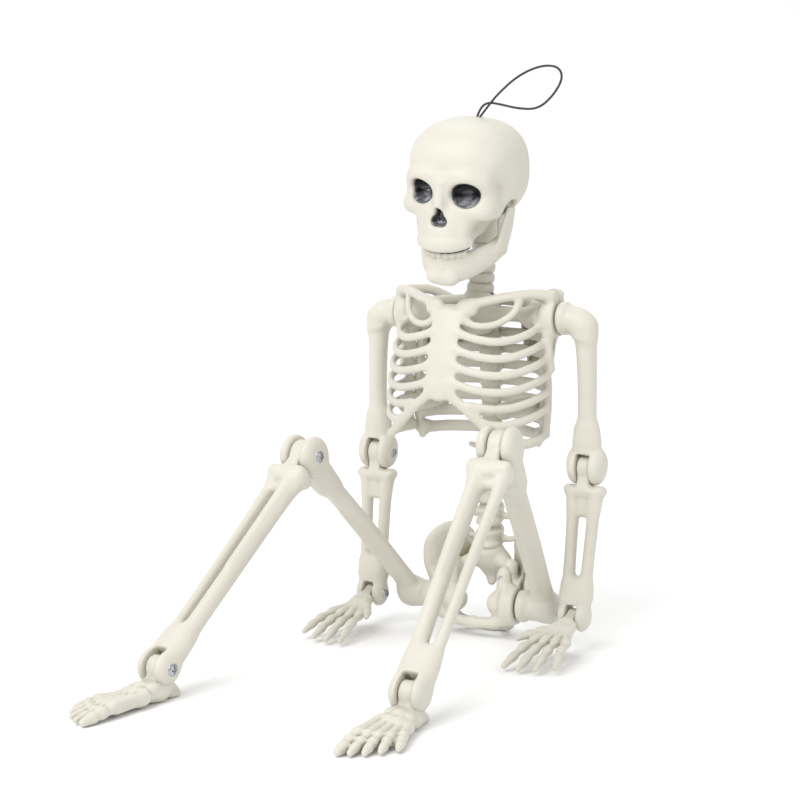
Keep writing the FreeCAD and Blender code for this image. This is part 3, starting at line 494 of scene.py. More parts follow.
def hand_clay():
    """Wrist bones, a webbed palm, four three-jointed fingers and a thumb on the inner side."""
    clay = Clay((-17, -8, -47), (14, 8, 6), FINE)
    eye_and_web(clay, "wrist", 7.4)
    clay.add(brick((0, 0, -9.2), (4.2, 2.1, 3.6), 1.6), 1.6)
    clay.add(bar((0, 0, -9), (0, 0.2, -18), (4.4, 1.7), (7.0, 1.2), SIDEWAYS), 1.5)
    for *at, size in ((-2.7, -1.0, -8.2, 1.6), (0, -1.3, -7.8, 1.6), (2.6, -1.0, -8.4, 1.6),
                      (-2.9, -1.0, -11, 1.5), (-0.4, -1.3, -11, 1.5), (2.4, -1.1, -11.2, 1.5)):
        clay.add(egg(at, (size, size * 0.8, size)), 0.8)
    for number, aside in enumerate((-2.4, -0.8, 0.8, 2.4)):
        length = HAND_LENGTH - 1.5 - (0.6, 0.0, 1.4, 4.6)[number]
        root = np.array((aside * 1.1, -0.4, -12.0))
        knuckle = np.array((aside * 2.7, -0.5, -21.5))
        tip = np.array((aside * 4.15, 0.4, -length))
        first = knuckle + (tip - knuckle) * 0.4 + (0, -0.9, 0)
        second = knuckle + (tip - knuckle) * 0.7 + (0, -0.7, 0)
        finger = (root, knuckle, first, second, tip)
        strand(clay, chain(finger, (1.6, 2.15, 2.0, 1.85, 1.15), (1.35, 1.4, 1.35, 1.4)), 0.6, steps=4)
    thumb = np.array(((-2.6, -0.4, -10), (-6.6, -1.0, -15.4), (-9.9, -1.6, -20.4), (-12.4, -2.0, -25.4)))
    strand(clay, chain(thumb, (1.9, 1.95, 1.8, 1.0), (1.5, 1.4, 1.4)), 0.8, steps=4)
    return clay.carve(drum((0, 0, 0), 1.1, 9, 0.2))


# ---------- rib cage
# The trunk's frame: x and z as in the whole figure's, y counted from the plane where its halves meet.
CAGE_MIDDLE, CAGE_Y, CAGE_HALF = 101.0, -10.0, (35.2, 24.5, 64.0)
CAGE_LEAN = math.tan(math.radians(5.0))
RIB_COUNT, RIB_PITCH, TOP_RIB = 8, 6.6, 131.4
RIB_RISE_AT = (8, 25, 43, 60, 80, 100, 114, 140, 180)  # degrees round from the breastbone
RIB_RISE = (3.8, 1.2, 0.0, 1.3, 3.8, 5.6, 6.3, 7.2, 7.6)
SPLIT_ANGLE = 114  # where the front and the back of a rib meet


def on_cage(degrees, z, inset=1.3):
    """A point in the cage's wall, that many degrees round from the front towards the left."""
    share = math.sqrt(1 - ((z - CAGE_MIDDLE) / CAGE_HALF[2]) ** 2)
    angle = math.radians(degrees)
    middle = CAGE_Y + (z - CAGE_MIDDLE) * CAGE_LEAN
    return ((CAGE_HALF[0] * share - inset) * math.sin(angle),
            middle - (CAGE_HALF[1] * share - inset) * math.cos(angle), z)


def rib_path(number, start, end, half_high, half_thick):
    """Points along the number-th rib, between two angles from the breastbone."""
    path = []
    for degrees in np.linspace(start, end, max(4, round(abs(end - start) / 13))):
        z = TOP_RIB - RIB_PITCH * number + np.interp(degrees, RIB_RISE_AT, RIB_RISE)
        path.append((*on_cage(degrees, z), half_high, half_thick))
    return path


TRUNK_SEAM, SKULL_SEAM = 0.12, 0.06  # half the gap left between a front and a back shell
FRONT, BACK = -1, 1


def half_space(half, seam):
    """Everything in front of the plane y = 0 (FRONT) or behind it (BACK), less half the seam."""
    return brick((0, half * (60 + seam), 60), (70, 60, 150), 0.1)


ACROSS_FRONT = turn(rz=90)  # turns a drum's axis from X to Y
POST_X, POST_Z, POST_RADIUS = 22.5, 97.5, 3.6
SHOULDER_X, SHOULDER_Z, SHOULDER_RADIUS = 36.5, 133.5, 7.6


def shoulder_socket(clay, side):
    """The round block whose two halves hold the upper arm's flange."""
    z = SHOULDER_Z
    clay.add(bar((side * 24, 0, z - 0.5), (side * 32.5, 0, z), 4.6, 6.9), 3)
    clay.add(drum((side * 33.9, 0, z), SHOULDER_RADIUS - 0.1, 2.6, 0.7), 2)


def ribcage_front_clay():
    """Breastbone, collar bones, the front ends of the ribs, the arch below them and the screw posts."""
    clay = Clay((-40, -40, 76), (40, 1, 148), COARSE)
    breastbone = [(136.0, 7.4), (129, 6.2), (121, 6.5), (113, 7.0), (107.5, 6.2), (102.6, 3.2)]
    strand(clay, [(*on_cage(0, z, 1.5), half, 1.5) for z, half in breastbone], 1.5, wide=SIDEWAYS)
    strand(clay, [(*on_cage(0, z, 2.2), 1.0) for z in (133, 122, 111, 105)], 2)
    for side in (-1, 1):
        # the collar bone's end, the collar bone and the plate that runs down to the first rib
        clay.add(bar((0, -24.4, 134.6), (side * 9.5, -22.9, 137.6), (3.0, 1.6), (3.0, 1.7), UPWARD), 2)
        strand(clay, [(5.6, -23.4, 138.6, 2.6, 1.9), (13, -20.6, 140.4, 2.0, 2.0), (21, -15.5, 142.2, 1.9, 2.3),
                      (29, -9.0, 143.2, 2.0, 2.6), (35.4, -3.0, 142.0, 2.6, 2.6)], 2, wide=UPWARD, side=side)
        clay.add(bar((side * 34.6, -1.5, 141.0), (side * 33.6, -3.0, 132.0), (2.6, 3.4), (3.0, 4.0),
                     SIDEWAYS), 2)
        # the first rib loops from the breastbone up to the collar bone
        strand(clay, [(6.0, -24.9, 132.8, 1.7, 1.3), (12, -24.0, 130.8, 1.6, 1.3), (18.5, -20.6, 131.6, 1.5, 1.3),
                      (23.6, -16.4, 135.4, 1.5, 1.3), (25.4, -13.4, 140.2, 1.7, 1.4)], 1.5, wide=UPWARD,
               side=side)
        for number in range(1, RIB_COUNT - 1):
            start = {5: 23, 6: 34}.get(number, 9)
            strand(clay, rib_path(number, start, SPLIT_ANGLE + 2, 1.75, 1.3), 0.9, wide=UPWARD, side=side)
        # the arch under the ribs, its end running up into the side
        arch = [(4, 108.0), (10, 103.2), (20, 98.6), (31, 93.4), (43, 88.6), (57, 85.6), (74, 84.6),
                (95, 85.6), (SPLIT_ANGLE + 2, 86.6)]
        strand(clay, [(*on_cage(degrees, z, 1.2), 2.1, 1.3) for degrees, z in arch], 1.6, wide=UPWARD,
               side=side)
        rail = [(86, 2.6), (100, 2.2), (114, 2.4), (126, 3.2), (132, 3.6)]
        strand(clay, [(on_cage(106, z, 1.4)[0], -1.6, z, 1.35, half) for z, half in rail], 1.5,
               wide=SIDEWAYS, side=side)
        shoulder_socket(clay, side)
        strand(clay, [(33.6, -4.6, 127.4, 2.2), (34.0, -4.2, 120.5, 1.7),
                      (34.6, -3.0, 113, 1.3)], 2.5, side=side)
        clay.add(drum((side * POST_X, -11, POST_Z), POST_RADIUS, 11, 0.4, ACROSS_FRONT), 0.6)
    clay.add(bar((0, 0, 132), (0, 0, 139.0), 7.2, 6.8), 1)
    clay.add(bar((-26, 0, 134.0), (26, 0, 134.0), 2.9, 2.9), 2)
    clay.add(bar((0, -20.5, 136.0), (0, -1, 135.0), 2.4, 2.8), 2)
    return finished_cage(clay, FRONT)


def finished_cage(clay, half):
    """Cuts the neck's bore and the room beside the shoulders, and keeps one half."""
    clay.carve(bar((0, 0.5, 130), (0.9, 0.5, 150), 5.0, 5.0))
    for side in (-1, 1):
        clay.carve(drum((side * (SHOULDER_X + 1.2), 0, SHOULDER_Z), 30, 1.2, 0.1))
    return clay.keep(half_space(half, TRUNK_SEAM), 0.35)


def blade_clay(clay, side):
    """The shoulder blade: a thin triangular plate with thick borders and a ridge out to the shoulder."""
    flat = turn(rz=side * -28)
    clay.add(egg((side * 22.5, 11.0, 123.5), (10.4, 1.5, 15.2), flat), 1.2)
    inner = [(13.2, 14.4, 134), (13.6, 15.0, 124), (18.0, 13.8, 111.5)]
    outer = [(18.0, 13.8, 111.5), (26.5, 9.4, 120), (32.4, 4.4, 128.6)]
    ridge = [(12.6, 14.8, 132.4), (20, 13.2, 138.2), (28, 8.4, 142.4), (35.2, 3.0, 142.6)]
    strand(clay, [(x, y, z, 1.5) for x, y, z in inner], 1.5, side=side)
    strand(clay, [(x, y, z, 1.8) for x, y, z in outer], 2, side=side)
    strand(clay, [(x, y, z, 2.0, 1.5) for x, y, z in ridge], 1.6, wide=UPWARD, side=side)


def ribcage_back_clay():
    """The ribs' broad back ends, the backbone's ridge and the shoulder blades."""
    clay = Clay((-40, -1, 76), (40, 20, 148), COARSE)
    for side in (-1, 1):
        for number in range(RIB_COUNT + 1):
            high = 2.15 if number < 6 else 2.45
            strand(clay, rib_path(number, SPLIT_ANGLE - 2, 177, high, 1.25), 0.9, wide=UPWARD, side=side)
        rail = [(85, 2.6), (100, 2.2), (114, 2.4), (126, 3.0), (132, 3.4)]
        strand(clay, [(on_cage(118, z, 1.4)[0], 1.6, z, 1.35, half) for z, half in rail], 1.5,
               wide=SIDEWAYS, side=side)
        for angle, drop in ((117, 5.4), (127, 4.2)):  # the loose tips of the lowest ribs
            mirrored = np.array((side, 1, 1))
            start, end = on_cage(angle, 86.0), on_cage(angle - 4, 86.0 - drop)
            clay.add(bar(mirrored * start, mirrored * end, 2.2, 1.2), 1.5)
        blade_clay(clay, side)
        shoulder_socket(clay, side)
        clay.add(drum((side * POST_X, 5.6, POST_Z), POST_RADIUS, 5.6, 0.4, ACROSS_FRONT), 0.6)
        clay.add(bar((side * 6, 1, 134.5), (side * 27, 1, 134.0), 2.9, 2.9), 2)
    strand(clay, [(0, 10.6, 84, 3.6, 3.4), (0, 10.2, 110, 3.6, 3.4), (0, 7.6, 138, 3.9, 3.8)], 1)
    for number in range(9):
        z = 87.5 + number * 6.0
        y = float(np.interp(z, (84, 110, 138), (10.6, 10.2, 7.6)))
        clay.add(drum((0, y, z), 4.6, 2.0, 1.2, turn(ry=90)), 1.2)
        clay.add(bar((0, y + 2, z), (0, y + 6.2, z - 3.0), (1.9, 1.1), (1.3, 0.9), UPWARD), 1.0)
    clay.add(bar((0, 0, 132), (0, 0, 139.4), 7.2, 6.8), 1)
    return finished_cage(clay, BACK)


# ---------- neck, backbone and pelvis
NECK_RINGS = 6


def neck_clay():
    """Stacked rings on a core, each a little rounder at the front, in the neck's own frame."""
    clay = Clay((-8, -8, -3), (8, 11, 28), FINE)
    clay.add(bar((0, 0, -2), (0, 0, 26), 4.5, 4.2))
    for number in range(NECK_RINGS):
        z, radius = 2.2 + 4.3 * number, 5.55 - 0.12 * number
        clay.add(drum((0, 0, z), radius, 1.75, 0.95, turn(ry=90)), 0.7)
        if number < 3:
            clay.add(bar((0, 4, z), (0, 8.0, z - 1.4), (1.6, 0.9), (1.2, 0.8), SIDEWAYS), 1)
    return clay


LUMBAR_Y, LUMBAR_LOW, LUMBAR_HIGH, LUMBAR_COUNT = 9.5, 34.7, 82.5, 5


def lumbar_clay():
    clay = Clay((-14, 0, 33), (14, 22, 85), MIDDLE)
    clay.add(bar((0, LUMBAR_Y, LUMBAR_LOW), (0, LUMBAR_Y, LUMBAR_HIGH), 3.9, 3.9))
    step = (LUMBAR_HIGH - LUMBAR_LOW) / LUMBAR_COUNT
    for number in range(LUMBAR_COUNT):
        z = LUMBAR_LOW + step * (number + 0.5)
        for edge in (-1, 1):
            clay.add(drum((0, LUMBAR_Y - 0.3, z + edge * 2.5), 5.5, 1.1, 0.8, turn(ry=90)), 1.6)
        clay.add(drum((0, LUMBAR_Y, z), 4.7, 2.6, 0.8, turn(ry=90)), 1.2)
        for side in (-1, 1):
            strand(clay, [(3.5, 11.6, z + 0.4, 1.9, 1.3), (7.4, 12.2, z - 0.2, 1.4, 1.0),
                          (10.6, 12.4, z + 0.4, 1.2, 0.9)], 1.2, wide=UPWARD, side=side)
            clay.add(egg((side * 3.2, 13.6, z + 3.0), (1.6, 1.6, 2.6)), 1.2)
        clay.add(bar((0, 12.5, z), (0, 18.0, z - 1.6), (2.3, 1.1), (2.0, 1.0), UPWARD), 1.2)
    return clay


HIP_X, HIP_Z, HIP_RADIUS = 19.0, 14.7, 8.0


def hip_axis(side):
    """Where the hip is, which way its axis points, outward, in the trunk's frame, and a turn to that axis."""
    outward = np.array(JOINTS["left_hip" if side > 0 else "right_hip"]["axis"]) * side
    return (np.array((side * HIP_X, 0, HIP_Z)), outward,
            turn(rz=math.degrees(math.atan2(outward[1], outward[0]))))


def hip_socket(clay, side):
    """The round block whose two halves hold the thigh's flange."""
    at, outward, turned = hip_axis(side)
    clay.add(bar(at - outward * 8.5, at - outward * 4, 5.4, 7.0), 2.5)
    clay.add(drum(at - outward * 2.9, HIP_RADIUS - 0.1, 2.9, 0.8, turned), 2)


def free_hips(clay):
    """Takes away what stands in the thigh's way, on the outer side of each socket."""
    for side in (-1, 1):
        at, outward, turned = hip_axis(side)
        clay.carve(drum(at + outward * 1.0, 14, 1.0, 0.1, turned))


def pelvis_front_clay():
    """The front halves of the sockets, the roots of the wings and the bar that joins them."""
    clay = Clay((-30, -12, -1), (30, 1, 46), MIDDLE)
    for side in (-1, 1):
        strand(clay, [(15, -3.2, 9.6, 3.2), (9, -4.0, 7.0, 2.3), (3, -4.4, 6.4, 2.2),
                      (0, -4.4, 6.4, 2.3)], 2, side=side)
        strand(clay, [(13.8, 0.4, 16, 3.8), (12.6, 0.2, 22, 3.6), (12.4, 0.4, 27, 3.3)], 2, side=side)
        hip_socket(clay, side)
    free_hips(clay)
    return clay.keep(half_space(FRONT, TRUNK_SEAM), 0.35)


def pelvis_back_clay():
    """Sacrum and tail with the flat seat, the two flared wings with their rims, and the ring's lower bars."""
    clay = Clay((-38, -1, -0.6), (38, 24, 52), MIDDLE)
    for side in (-1, 1):
        # a wing flares from the sacrum forward and outward to its rim
        flat = turn(rz=side * -44)
        clay.add(egg((side * 17.6, 8.0, 31.8), (12.6, 2.0, 12.9), flat), 1.5)
        rim = [(10.0, 15.4, 36.0), (11.6, 14.4, 40.6), (15.4, 10.8, 43.8), (19.8, 6.4, 43.0),
               (23.4, 2.8, 38.6), (25.2, 1.4, 32.4), (24.2, 1.8, 26.0), (21.6, 2.8, 21.0)]
        strand(clay, [(x, y, z, 1.3) for x, y, z in rim], 1.2, side=side)
        strand(clay, [(21.5, 4.0, 23.0, 3.2), (18.5, 2.6, 18.5, 5.0)], 3, side=side)
        # the ring: from the sacrum round to the socket, and from the socket down to the seat
        strand(clay, [(5.5, 10.5, 31, 3.4), (11, 6.5, 28, 2.4), (14.5, 2.6, 22, 3.0)], 3, side=side)
        strand(clay, [(15.0, 1.5, 9.0, 2.9), (11.0, 6.5, 4.4, 2.2), (6.0, 12.0, 2.4, 2.2),
                      (0, 14.5, 2.2, 2.3)], 2, side=side)
        hip_socket(clay, side)
        strand(clay, [(14.0, 1.4, 17, 3.8), (12.8, 1.8, 24, 3.6), (13.6, 3.2, 30, 3.0)], 2, side=side)
    strand(clay, [(0, 11.8, 20.4, 1.8, 1.4), (0, 12.6, 23.4, 3.4, 2.2), (0, 11.8, 27, 6.0, 3.2),
                  (0, 10.8, 30, 7.4, 4.2), (0, 10.0, 34.0, 6.6, 5.2)], 2, wide=SIDEWAYS)
    clay.add(drum((0, 15, 1.8), 6.0, 1.8, 0.5, turn(ry=90)), 1.5)
    clay.add(bar((0, 13.0, 28.1), (0, 15.4, 27.1), (1.6, 1.1), (1.2, 0.9), UPWARD), 1.4)
    free_hips(clay)
    clay.carve(brick((0, 10, -5), (60, 60, 5), 0.1), 0.4)
    return clay.keep(half_space(BACK, TRUNK_SEAM), 0.35)


# ---------- head
JAW_HINGE_Y, JAW_HINGE_Z = -10.7, 29.0
EYE_AT, EYE_HALF, EYE_TURN = (10.1, -31.5, 38.0), (6.1, 8.5, 5.0), 8.0
TEETH_LINE = 15.9


def on_neck(rise):
    """A point on the neck's axis, in the head's frame, that far above the neck's joint."""
    above = rise - HEAD_RISE / MM
    return np.array((0, math.sin(HEAD_NOD) * above, math.cos(HEAD_NOD) * above))


def gum_point(degrees, reach):
    """A point on the arch of the teeth: degrees from the middle, reach forward of the palate."""
    angle = math.radians(degrees)
    return 10.4 * math.sin(angle), -27.0 - reach * math.cos(angle)


BITE_TILT = 14.0  # the line between the teeth rises towards the back


def below_teeth(height, half_high, half_deep=17, upside=-1):
    """A block under (upside -1) or over (upside 1) the line between the teeth."""
    tilt = turn(rx=BITE_TILT)
    front = np.array((0, -36, height))
    middle = front + tilt @ np.array((0, half_deep - 7, upside * half_high))
    return brick(middle, (24, half_deep, half_high), 0.3, tilt)


def skull_clay():
    """The whole skull, then the black faces in its openings and a black strip of painted shade in the gap between
    the teeth, on the same grid.
    """
    clay = Clay((-25, -41, 12), (25, 24, 65), MIDDLE)
    clay.add(pillow((0, -9.6, 43.0), (22.6, 22.4, 20.2), 2.5))
    clay.add(bar(on_neck(21), on_neck(33), 7.6, 9.5), 5)
    clay.add(brick((0, -23.6, 27.2), (14.2, 8.8, 9.2), 6), 5)
    for side in (-1, 1):
        clay.carve(egg((side * 26.5, -22.5, 39.5), (6.2, 9, 8.5)), 6)
        clay.add(egg((side * 14.6, -25.2, 31.4), (5.8, 5.6, 4.6)), 3)
        strand(clay, [(15.2, -25.0, 31.8, 3.2, 2.4), (18.0, -19.5, 31.4, 3.0, 1.8),
                      (18.6, -12.0, 32.4, 2.6, 1.4)], 4, wide=UPWARD, side=side)
        strand(clay, [(2.4, -31.4, 43.4, 1.6), (9.6, -30.8, 44.6, 1.8),
                      (16.0, -27.0, 42.4, 1.6), (17.8, -23.4, 37.0, 1.4)], 4, side=side)
        clay.carve(egg((side * 15.5, -25.5, 21.8), (5.0, 9.0, 5.2)), 3.5)
    clay.add(bar((0, -28.6, 27), (0, -29.6, 19.4), (8.8, 6.6), (10.6, 7.6), SIDEWAYS), 3)
    clay.add(bar((0, -31.2, 41.5), (0, -34.0, 33.4), 2.9, 2.1), 3)
    for degrees in range(-75, 76, 15):
        x, y = gum_point(degrees, 9.6)
        clay.add(egg((x, y, TEETH_LINE + 2.2), (2.0, 0.9, 2.4)), 2.0)
    clay.carve(below_teeth(TEETH_LINE, 8), 0.7)
    clay.carve(egg((0, -25, TEETH_LINE - 1), (7.4, 9.5, 4.5)), 1)
    clay.carve(bar(on_neck(0), on_neck(26.9), 6.0, 6.0))
    for side in (-1, 1):
        clay.carve(drum((side * 23.0, JAW_HINGE_Y - 2, JAW_HINGE_Z - 2), 6.6, 5.3, 0.6), 0.8)
        clay.carve(brick((side * 23.0, JAW_HINGE_Y - 3, 18), (5.3, 7, 8), 0.6), 0.8)
    uncut = clay.field.copy()
    openings = [egg((side * EYE_AT[0], *EYE_AT[1:]), EYE_HALF, turn(rz=side * EYE_TURN)) for side in (-1, 1)]
    openings.append(egg((0, -35.6, 30.0), (1.9, 5, 3.2)))
    openings += [egg((side * 1.6, -35.6, 27.6), (2.1, 5, 2.1)) for side in (-1, 1)]
    x, y, z = np.ix_(*clay.axes)
    hole = openings[0][0](x, y, z)
    for opening in openings[1:]:
        hole = soft_min(hole, opening[0](x, y, z), 1.6)
    clay.field = -soft_min(-clay.field, hole, 0.9)
    paint = copy.copy(clay)
    paint.field = np.maximum(np.maximum(hole - 0.3, -hole - 0.5), uncut + 0.8)
    # painted shade: a thin black strip just inside the gap between the teeth, to make the gap read dark
    line = [gum_point(degrees, 7.6) for degrees in range(-80, 81, 16)]
    rise = math.tan(math.radians(BITE_TILT))
    strand(paint, [(x, y, TEETH_LINE - 0.5 + (y + 36) * rise, 1.0, 0.7) for x, y in line], wide=UPWARD)
    return clay, paint


def half_of(clay, half):
    """A copy of the clay with only its front or back half."""
    return copy.copy(clay).keep(half_space(half, SKULL_SEAM), 0.5)


def jaw_clay():
    """The lower jaw: a bow with a squared chin, a row of small teeth and a broad branch up each side."""
    clay = Clay((-24, -37, -1), (24, 2, 38), FINE)
    rise = math.tan(math.radians(BITE_TILT))
    for side in (-1, 1):
        strand(clay, [(16.4, -14.5, 15.0, 4.4, 1.9), (13.8, -20.5, 12.0, 4.8, 2.2),
                      (9.4, -27.0, 9.8, 5.6, 2.4), (4.6, -30.8, 8.8, 6.2, 2.6),
                      (0, -31.8, 8.6, 6.3, 2.7)], 0.8, wide=UPWARD, side=side)
        strand(clay, [(16.8, -15.0, 14.0, 4.6, 1.9), (18.4, -14.6, 19.0, 4.6, 1.6),
                      (19.4, -13.6, 24.5, 4.3, 1.35),
                      (19.8, -12.0, 29.4, 3.0, 1.25)], 1.5, wide=FLAT_PLATE, side=side)
        clay.add(egg((side * 4.0, -32.4, 4.6), (2.8, 2.0, 2.6)), 2)
        clay.add(drum((side * 18.0, JAW_HINGE_Y, JAW_HINGE_Z), 1.3, 2.6, 0.3), 0.4)
    clay.add(egg((0, -31.6, 5.0), (5.4, 2.8, 3.4)), 2)
    for degrees in range(-64, 65, 16):
        x, y = gum_point(degrees, 7.2)
        clay.add(egg((x * 0.92, y, TEETH_LINE - 2.2 + (y + 36) * rise), (1.35, 1.25, 1.6)), 0.5)
    return clay.carve(below_teeth(TEETH_LINE - 0.9, 5, 11, 1), 0.5)


def screw_clay():
    """A round-headed cross-slot screw along +x, its head's underside at x = 0."""
    clay = Clay((-3.4, -2.9, -2.9), (2.2, 2.9, 2.9), 0.12)
    clay.add(drum((-1.6, 0, 0), 1.05, 1.6, 0.1))
    clay.add(drum((0.35, 0, 0), 2.4, 0.5, 0.2))
    clay.add(egg((0.55, 0, 0), (1.25, 2.3, 2.3)), 0.25)
    for half in ((0.8, 1.4, 0.3), (0.8, 0.3, 1.4)):
        clay.carve(brick((1.75, 0, 0), half, 0.08), 0.1)
    return clay


# ---------- hanging loop
# The route is counted in millimetres from the skull's crown, along the whole figure's axes.
CROWN = (0, -3.2, 63)
LOOP_ROUTE = [(0, 0, -1.2), (1.2, 0.2, 2.6), (4.2, 0.8, 5.4), (9.5, 1.6, 4.6), (17, 2.4, 2.8),
              (25.5, 3, 2.4), (32, 3.2, 7.4), (36.5, 3, 14.2), (34.5, 2.6, 18.8), (27, 2, 19.2),
              (17.5, 1.4, 15.4), (9.2, 0.8, 8.6), (4.6, 0.4, 3.4), (1.4, -0.9, -1.2)]
CORD_RADIUS = 0.45


def hanging_loop(material):
    """The black elastic loop, out of the crown and back into it."""
    crown = HEAD_FRAME @ np.array([c * MM for c in CROWN] + [1])
    data = bpy.data.curves.new("loop_cord", "CURVE")
    data.dimensions = "3D"
    data.bevel_depth = CORD_RADIUS * MM
    data.bevel_resolution = 6
    data.resolution_u = 16
    data.use_fill_caps = True
    line = data.splines.new("NURBS")
    line.points.add(len(LOOP_ROUTE) - 1)
    for place, step in zip(line.points, LOOP_ROUTE):
        place.co = (*(crown[:3] + np.array(step) * MM), 1)
    line.order_u = 3
    line.use_endpoint_u = True
    piece = placed("loop_cord", data)
    show(piece, "head", ["hanging_loop"], material)


# ---------- materials
class Look:
    """A material in the making: its nodes, and helpers that add and link them."""

    def __init__(self, name):
        self.material = bpy.data.materials.new(name)
        self.material.use_nodes = True
        self.nodes = self.material.node_tree.nodes
        self.shader = self.nodes["Principled BSDF"]

    def feed(self, socket, value):
        """Gives a socket a plain value or another node's output."""
        if isinstance(value, bpy.types.NodeSocket):
            self.material.node_tree.links.new(value, socket)
        else:
            socket.default_value = value

    def set(self, name, value):
        self.feed(self.shader.inputs[name], value)

    def node(self, kind, inputs):
        """A new node of that kind; inputs are given by name or by number."""
        made = self.nodes.new("ShaderNode" + kind)
        for name, value in inputs.items():
            self.feed(made.inputs[name], value)
        return made

    def object_space(self):
        return self.node("TexCoord", {}).outputs["Object"]

    def noise(self, scale, detail, roughness=0.5):
        return self.node("TexNoise", {"Vector": self.object_space(), "Scale": scale, "Detail": detail,
                                      "Roughness": roughness}).outputs["Fac"]

    def spread(self, value, low, high, to_low, to_high):
        return self.node("MapRange", {"Value": value, "From Min": low, "From Max": high,
                                      "To Min": to_low, "To Max": to_high}).outputs["Result"]

    def times(self, first, second):
        made = self.node("Math", {0: first, 1: second})
        made.operation = "MULTIPLY"
        return made.outputs[0]

    def mixed(self, share, first, second):
        """Two colours, or a socket and a colour, mixed by share."""
        made = self.node("Mix", {})
        made.data_type = "RGBA"
        for number, value in ((0, share), (6, first), (7, second)):
            self.feed(made.inputs[number], (*value, 1) if isinstance(value, tuple) else value)
        return made.outputs[2]

    def bumped(self, layers):
        """Bump from (height socket, strength, distance) layers, one on top of another."""
        below = {}
        for height, strength, distance in layers:
            made = self.node("Bump", {"Height": height, "Strength": strength, "Distance": distance, **below})
            below = {"Normal": made.outputs["Normal"]}
        self.set("Normal", below["Normal"])


# the third colour is painted shade: the olive that darkens the creases and hollows
BONE, PALE_BONE, OLIVE_CREASE_SHADE = (0.575, 0.556, 0.482), (0.610, 0.592, 0.518), (0.25, 0.215, 0.105)


def bone_material():
    """Off-white moulded plastic, with olive shade painted into its hollows and creases."""
    look = Look("bone_plastic")
    attribute = look.node("Attribute", {})
    attribute.attribute_name = "hollow"
    patches = look.noise(90, 3)
    # painted shade: olive mixed into the colour where the 'hollow' attribute marks a crease, a little broken up
    # by noise
    crease_shade = look.times(look.spread(attribute.outputs["Fac"], 0.06, 0.80, 0, 1),
                      look.spread(patches, 0.3, 0.7, 0.65, 1.0))
    clouds = look.spread(look.noise(28, 4), 0.35, 0.65, 0, 1)
    look.set("Base Color", look.mixed(crease_shade, look.mixed(clouds, BONE, PALE_BONE), OLIVE_CREASE_SHADE))
    look.set("Roughness", look.spread(patches, 0.3, 0.7, 0.40, 0.52))
    look.set("Specular IOR Level", 0.42)
    look.set("Subsurface Weight", 0.08)
    look.set("Subsurface Radius", (1.0, 0.8, 0.5))
    look.set("Subsurface Scale", 0.002)
    look.bumped([(look.noise(130, 3), 0.25, 0.0006), (look.noise(900, 2), 0.10, 0.0001)])
    return look.material


def paint_material():
    """Glossy black paint, brushed on a little unevenly, with a pale painted reflection where it faces up."""
    look = Look("socket_paint")
    strokes = look.noise(260, 3)
    black = look.mixed(strokes, (0.006, 0.006, 0.007), (0.018, 0.018, 0.021))
    normal = look.node("NewGeometry", {}).outputs["Normal"]
    upward = look.node("SeparateXYZ", {0: normal}).outputs["Z"]
    # painted reflection: the black is mixed towards pale grey where it faces up, broken up by noise, as a sheen
    painted_sheen = look.times(look.spread(upward, 0.25, 0.75, 0, 1),
                      look.spread(look.noise(320, 4), 0.42, 0.56, 0.25, 1))
    look.set("Base Color", look.mixed(painted_sheen, black, (0.46, 0.46, 0.50)))
    look.set("Roughness", look.spread(strokes, 0.3, 0.7, 0.12, 0.24))
    look.set("Coat Weight", 0.6)
    look.set("Coat Roughness", 0.1)
    look.bumped([(strokes, 0.35, 0.0004)])
    return look.material


def steel_material():
    """Bright plated steel with faint turning marks."""
    look = Look("screw_steel")
    marks = look.noise(1400, 3)
    look.set("Base Color", look.mixed(marks, (0.30, 0.31, 0.33), (0.55, 0.56, 0.59)))
    look.set("Roughness", look.spread(marks, 0.3, 0.7, 0.16, 0.34))
    look.set("Metallic", 1.0)
    look.bumped([(marks, 0.15, 0.0001)])
    return look.material


def cord_material():
    """Black braided elastic."""
    look = Look("loop_cord")
    braid = look.node("TexWave", {"Vector": look.object_space(), "Scale": 420, "Distortion": 1.5})
    braid.wave_type = "BANDS"
    braid.bands_direction = "DIAGONAL"
    weave = braid.outputs["Fac"]
    look.set("Base Color", look.mixed(weave, (0.012, 0.012, 0.014), (0.045, 0.045, 0.05)))
    look.set("Roughness", look.spread(weave, 0, 1, 0.45, 0.7))
    look.bumped([(weave, 0.4, 0.0002)])
    return look.material


# ---------- the figure
bone, paint, steel, cord = bone_material(), paint_material(), steel_material(), cord_material()


def put(node, clay, frame_matrix, body, mirror=1, material=None, stands_for=True):
    """Makes a node's visual piece and lets it ride on its body in the node's place."""
    piece = mesh_of(node + "_visual", clay, frame_matrix, mirror)
    return show(piece, body, [node] if stands_for else [], material or bone)


limbs = (  # piece, its clay, the joints at its near and far end, the body that carries it
    ("femur", femur_clay(), "hip", "knee", "thigh"), ("shin", shin_clay(), "knee", "ankle", "lower_leg"),
    ("foot", foot_clay(), "ankle", None, "foot"), ("humerus", humerus_clay(), "shoulder", "elbow", "upper_arm"),
    ("forearm", forearm_clay(), "elbow", "wrist", "lower_arm"), ("hand", hand_clay(), "wrist", None, "hand"))
screw_carriers = {"knee": "thigh", "ankle": "lower_leg", "elbow": "upper_arm", "wrist": "lower_arm"}
screw = screw_clay()
for name, side in SIDES.items():
    for node, clay, near, far, body in limbs:
        if far:
            matrix = bone_frame(f"{name}_{near}", f"{name}_{far}")
        elif node == "hand":
            matrix = hand_frame(name)
        else:
            matrix = axes_frame(joint_point(name + "_ankle"), JOINTS[name + "_ankle"]["axis"], UPWARD)
        put(f"{name}_{node}", clay, matrix, f"{name}_{body}", side)
    for joint, body in screw_carriers.items():
        inward = np.array(JOINTS[f"{name}_{joint}"]["axis"], float) * -side
        start = joint_point(f"{name}_{joint}") + inward * JOINT_SIZES[joint][1] * MM
        put(f"{name}_{joint}_screw", screw, axes_frame(start, inward, UPWARD), f"{name}_{body}",
            material=steel)

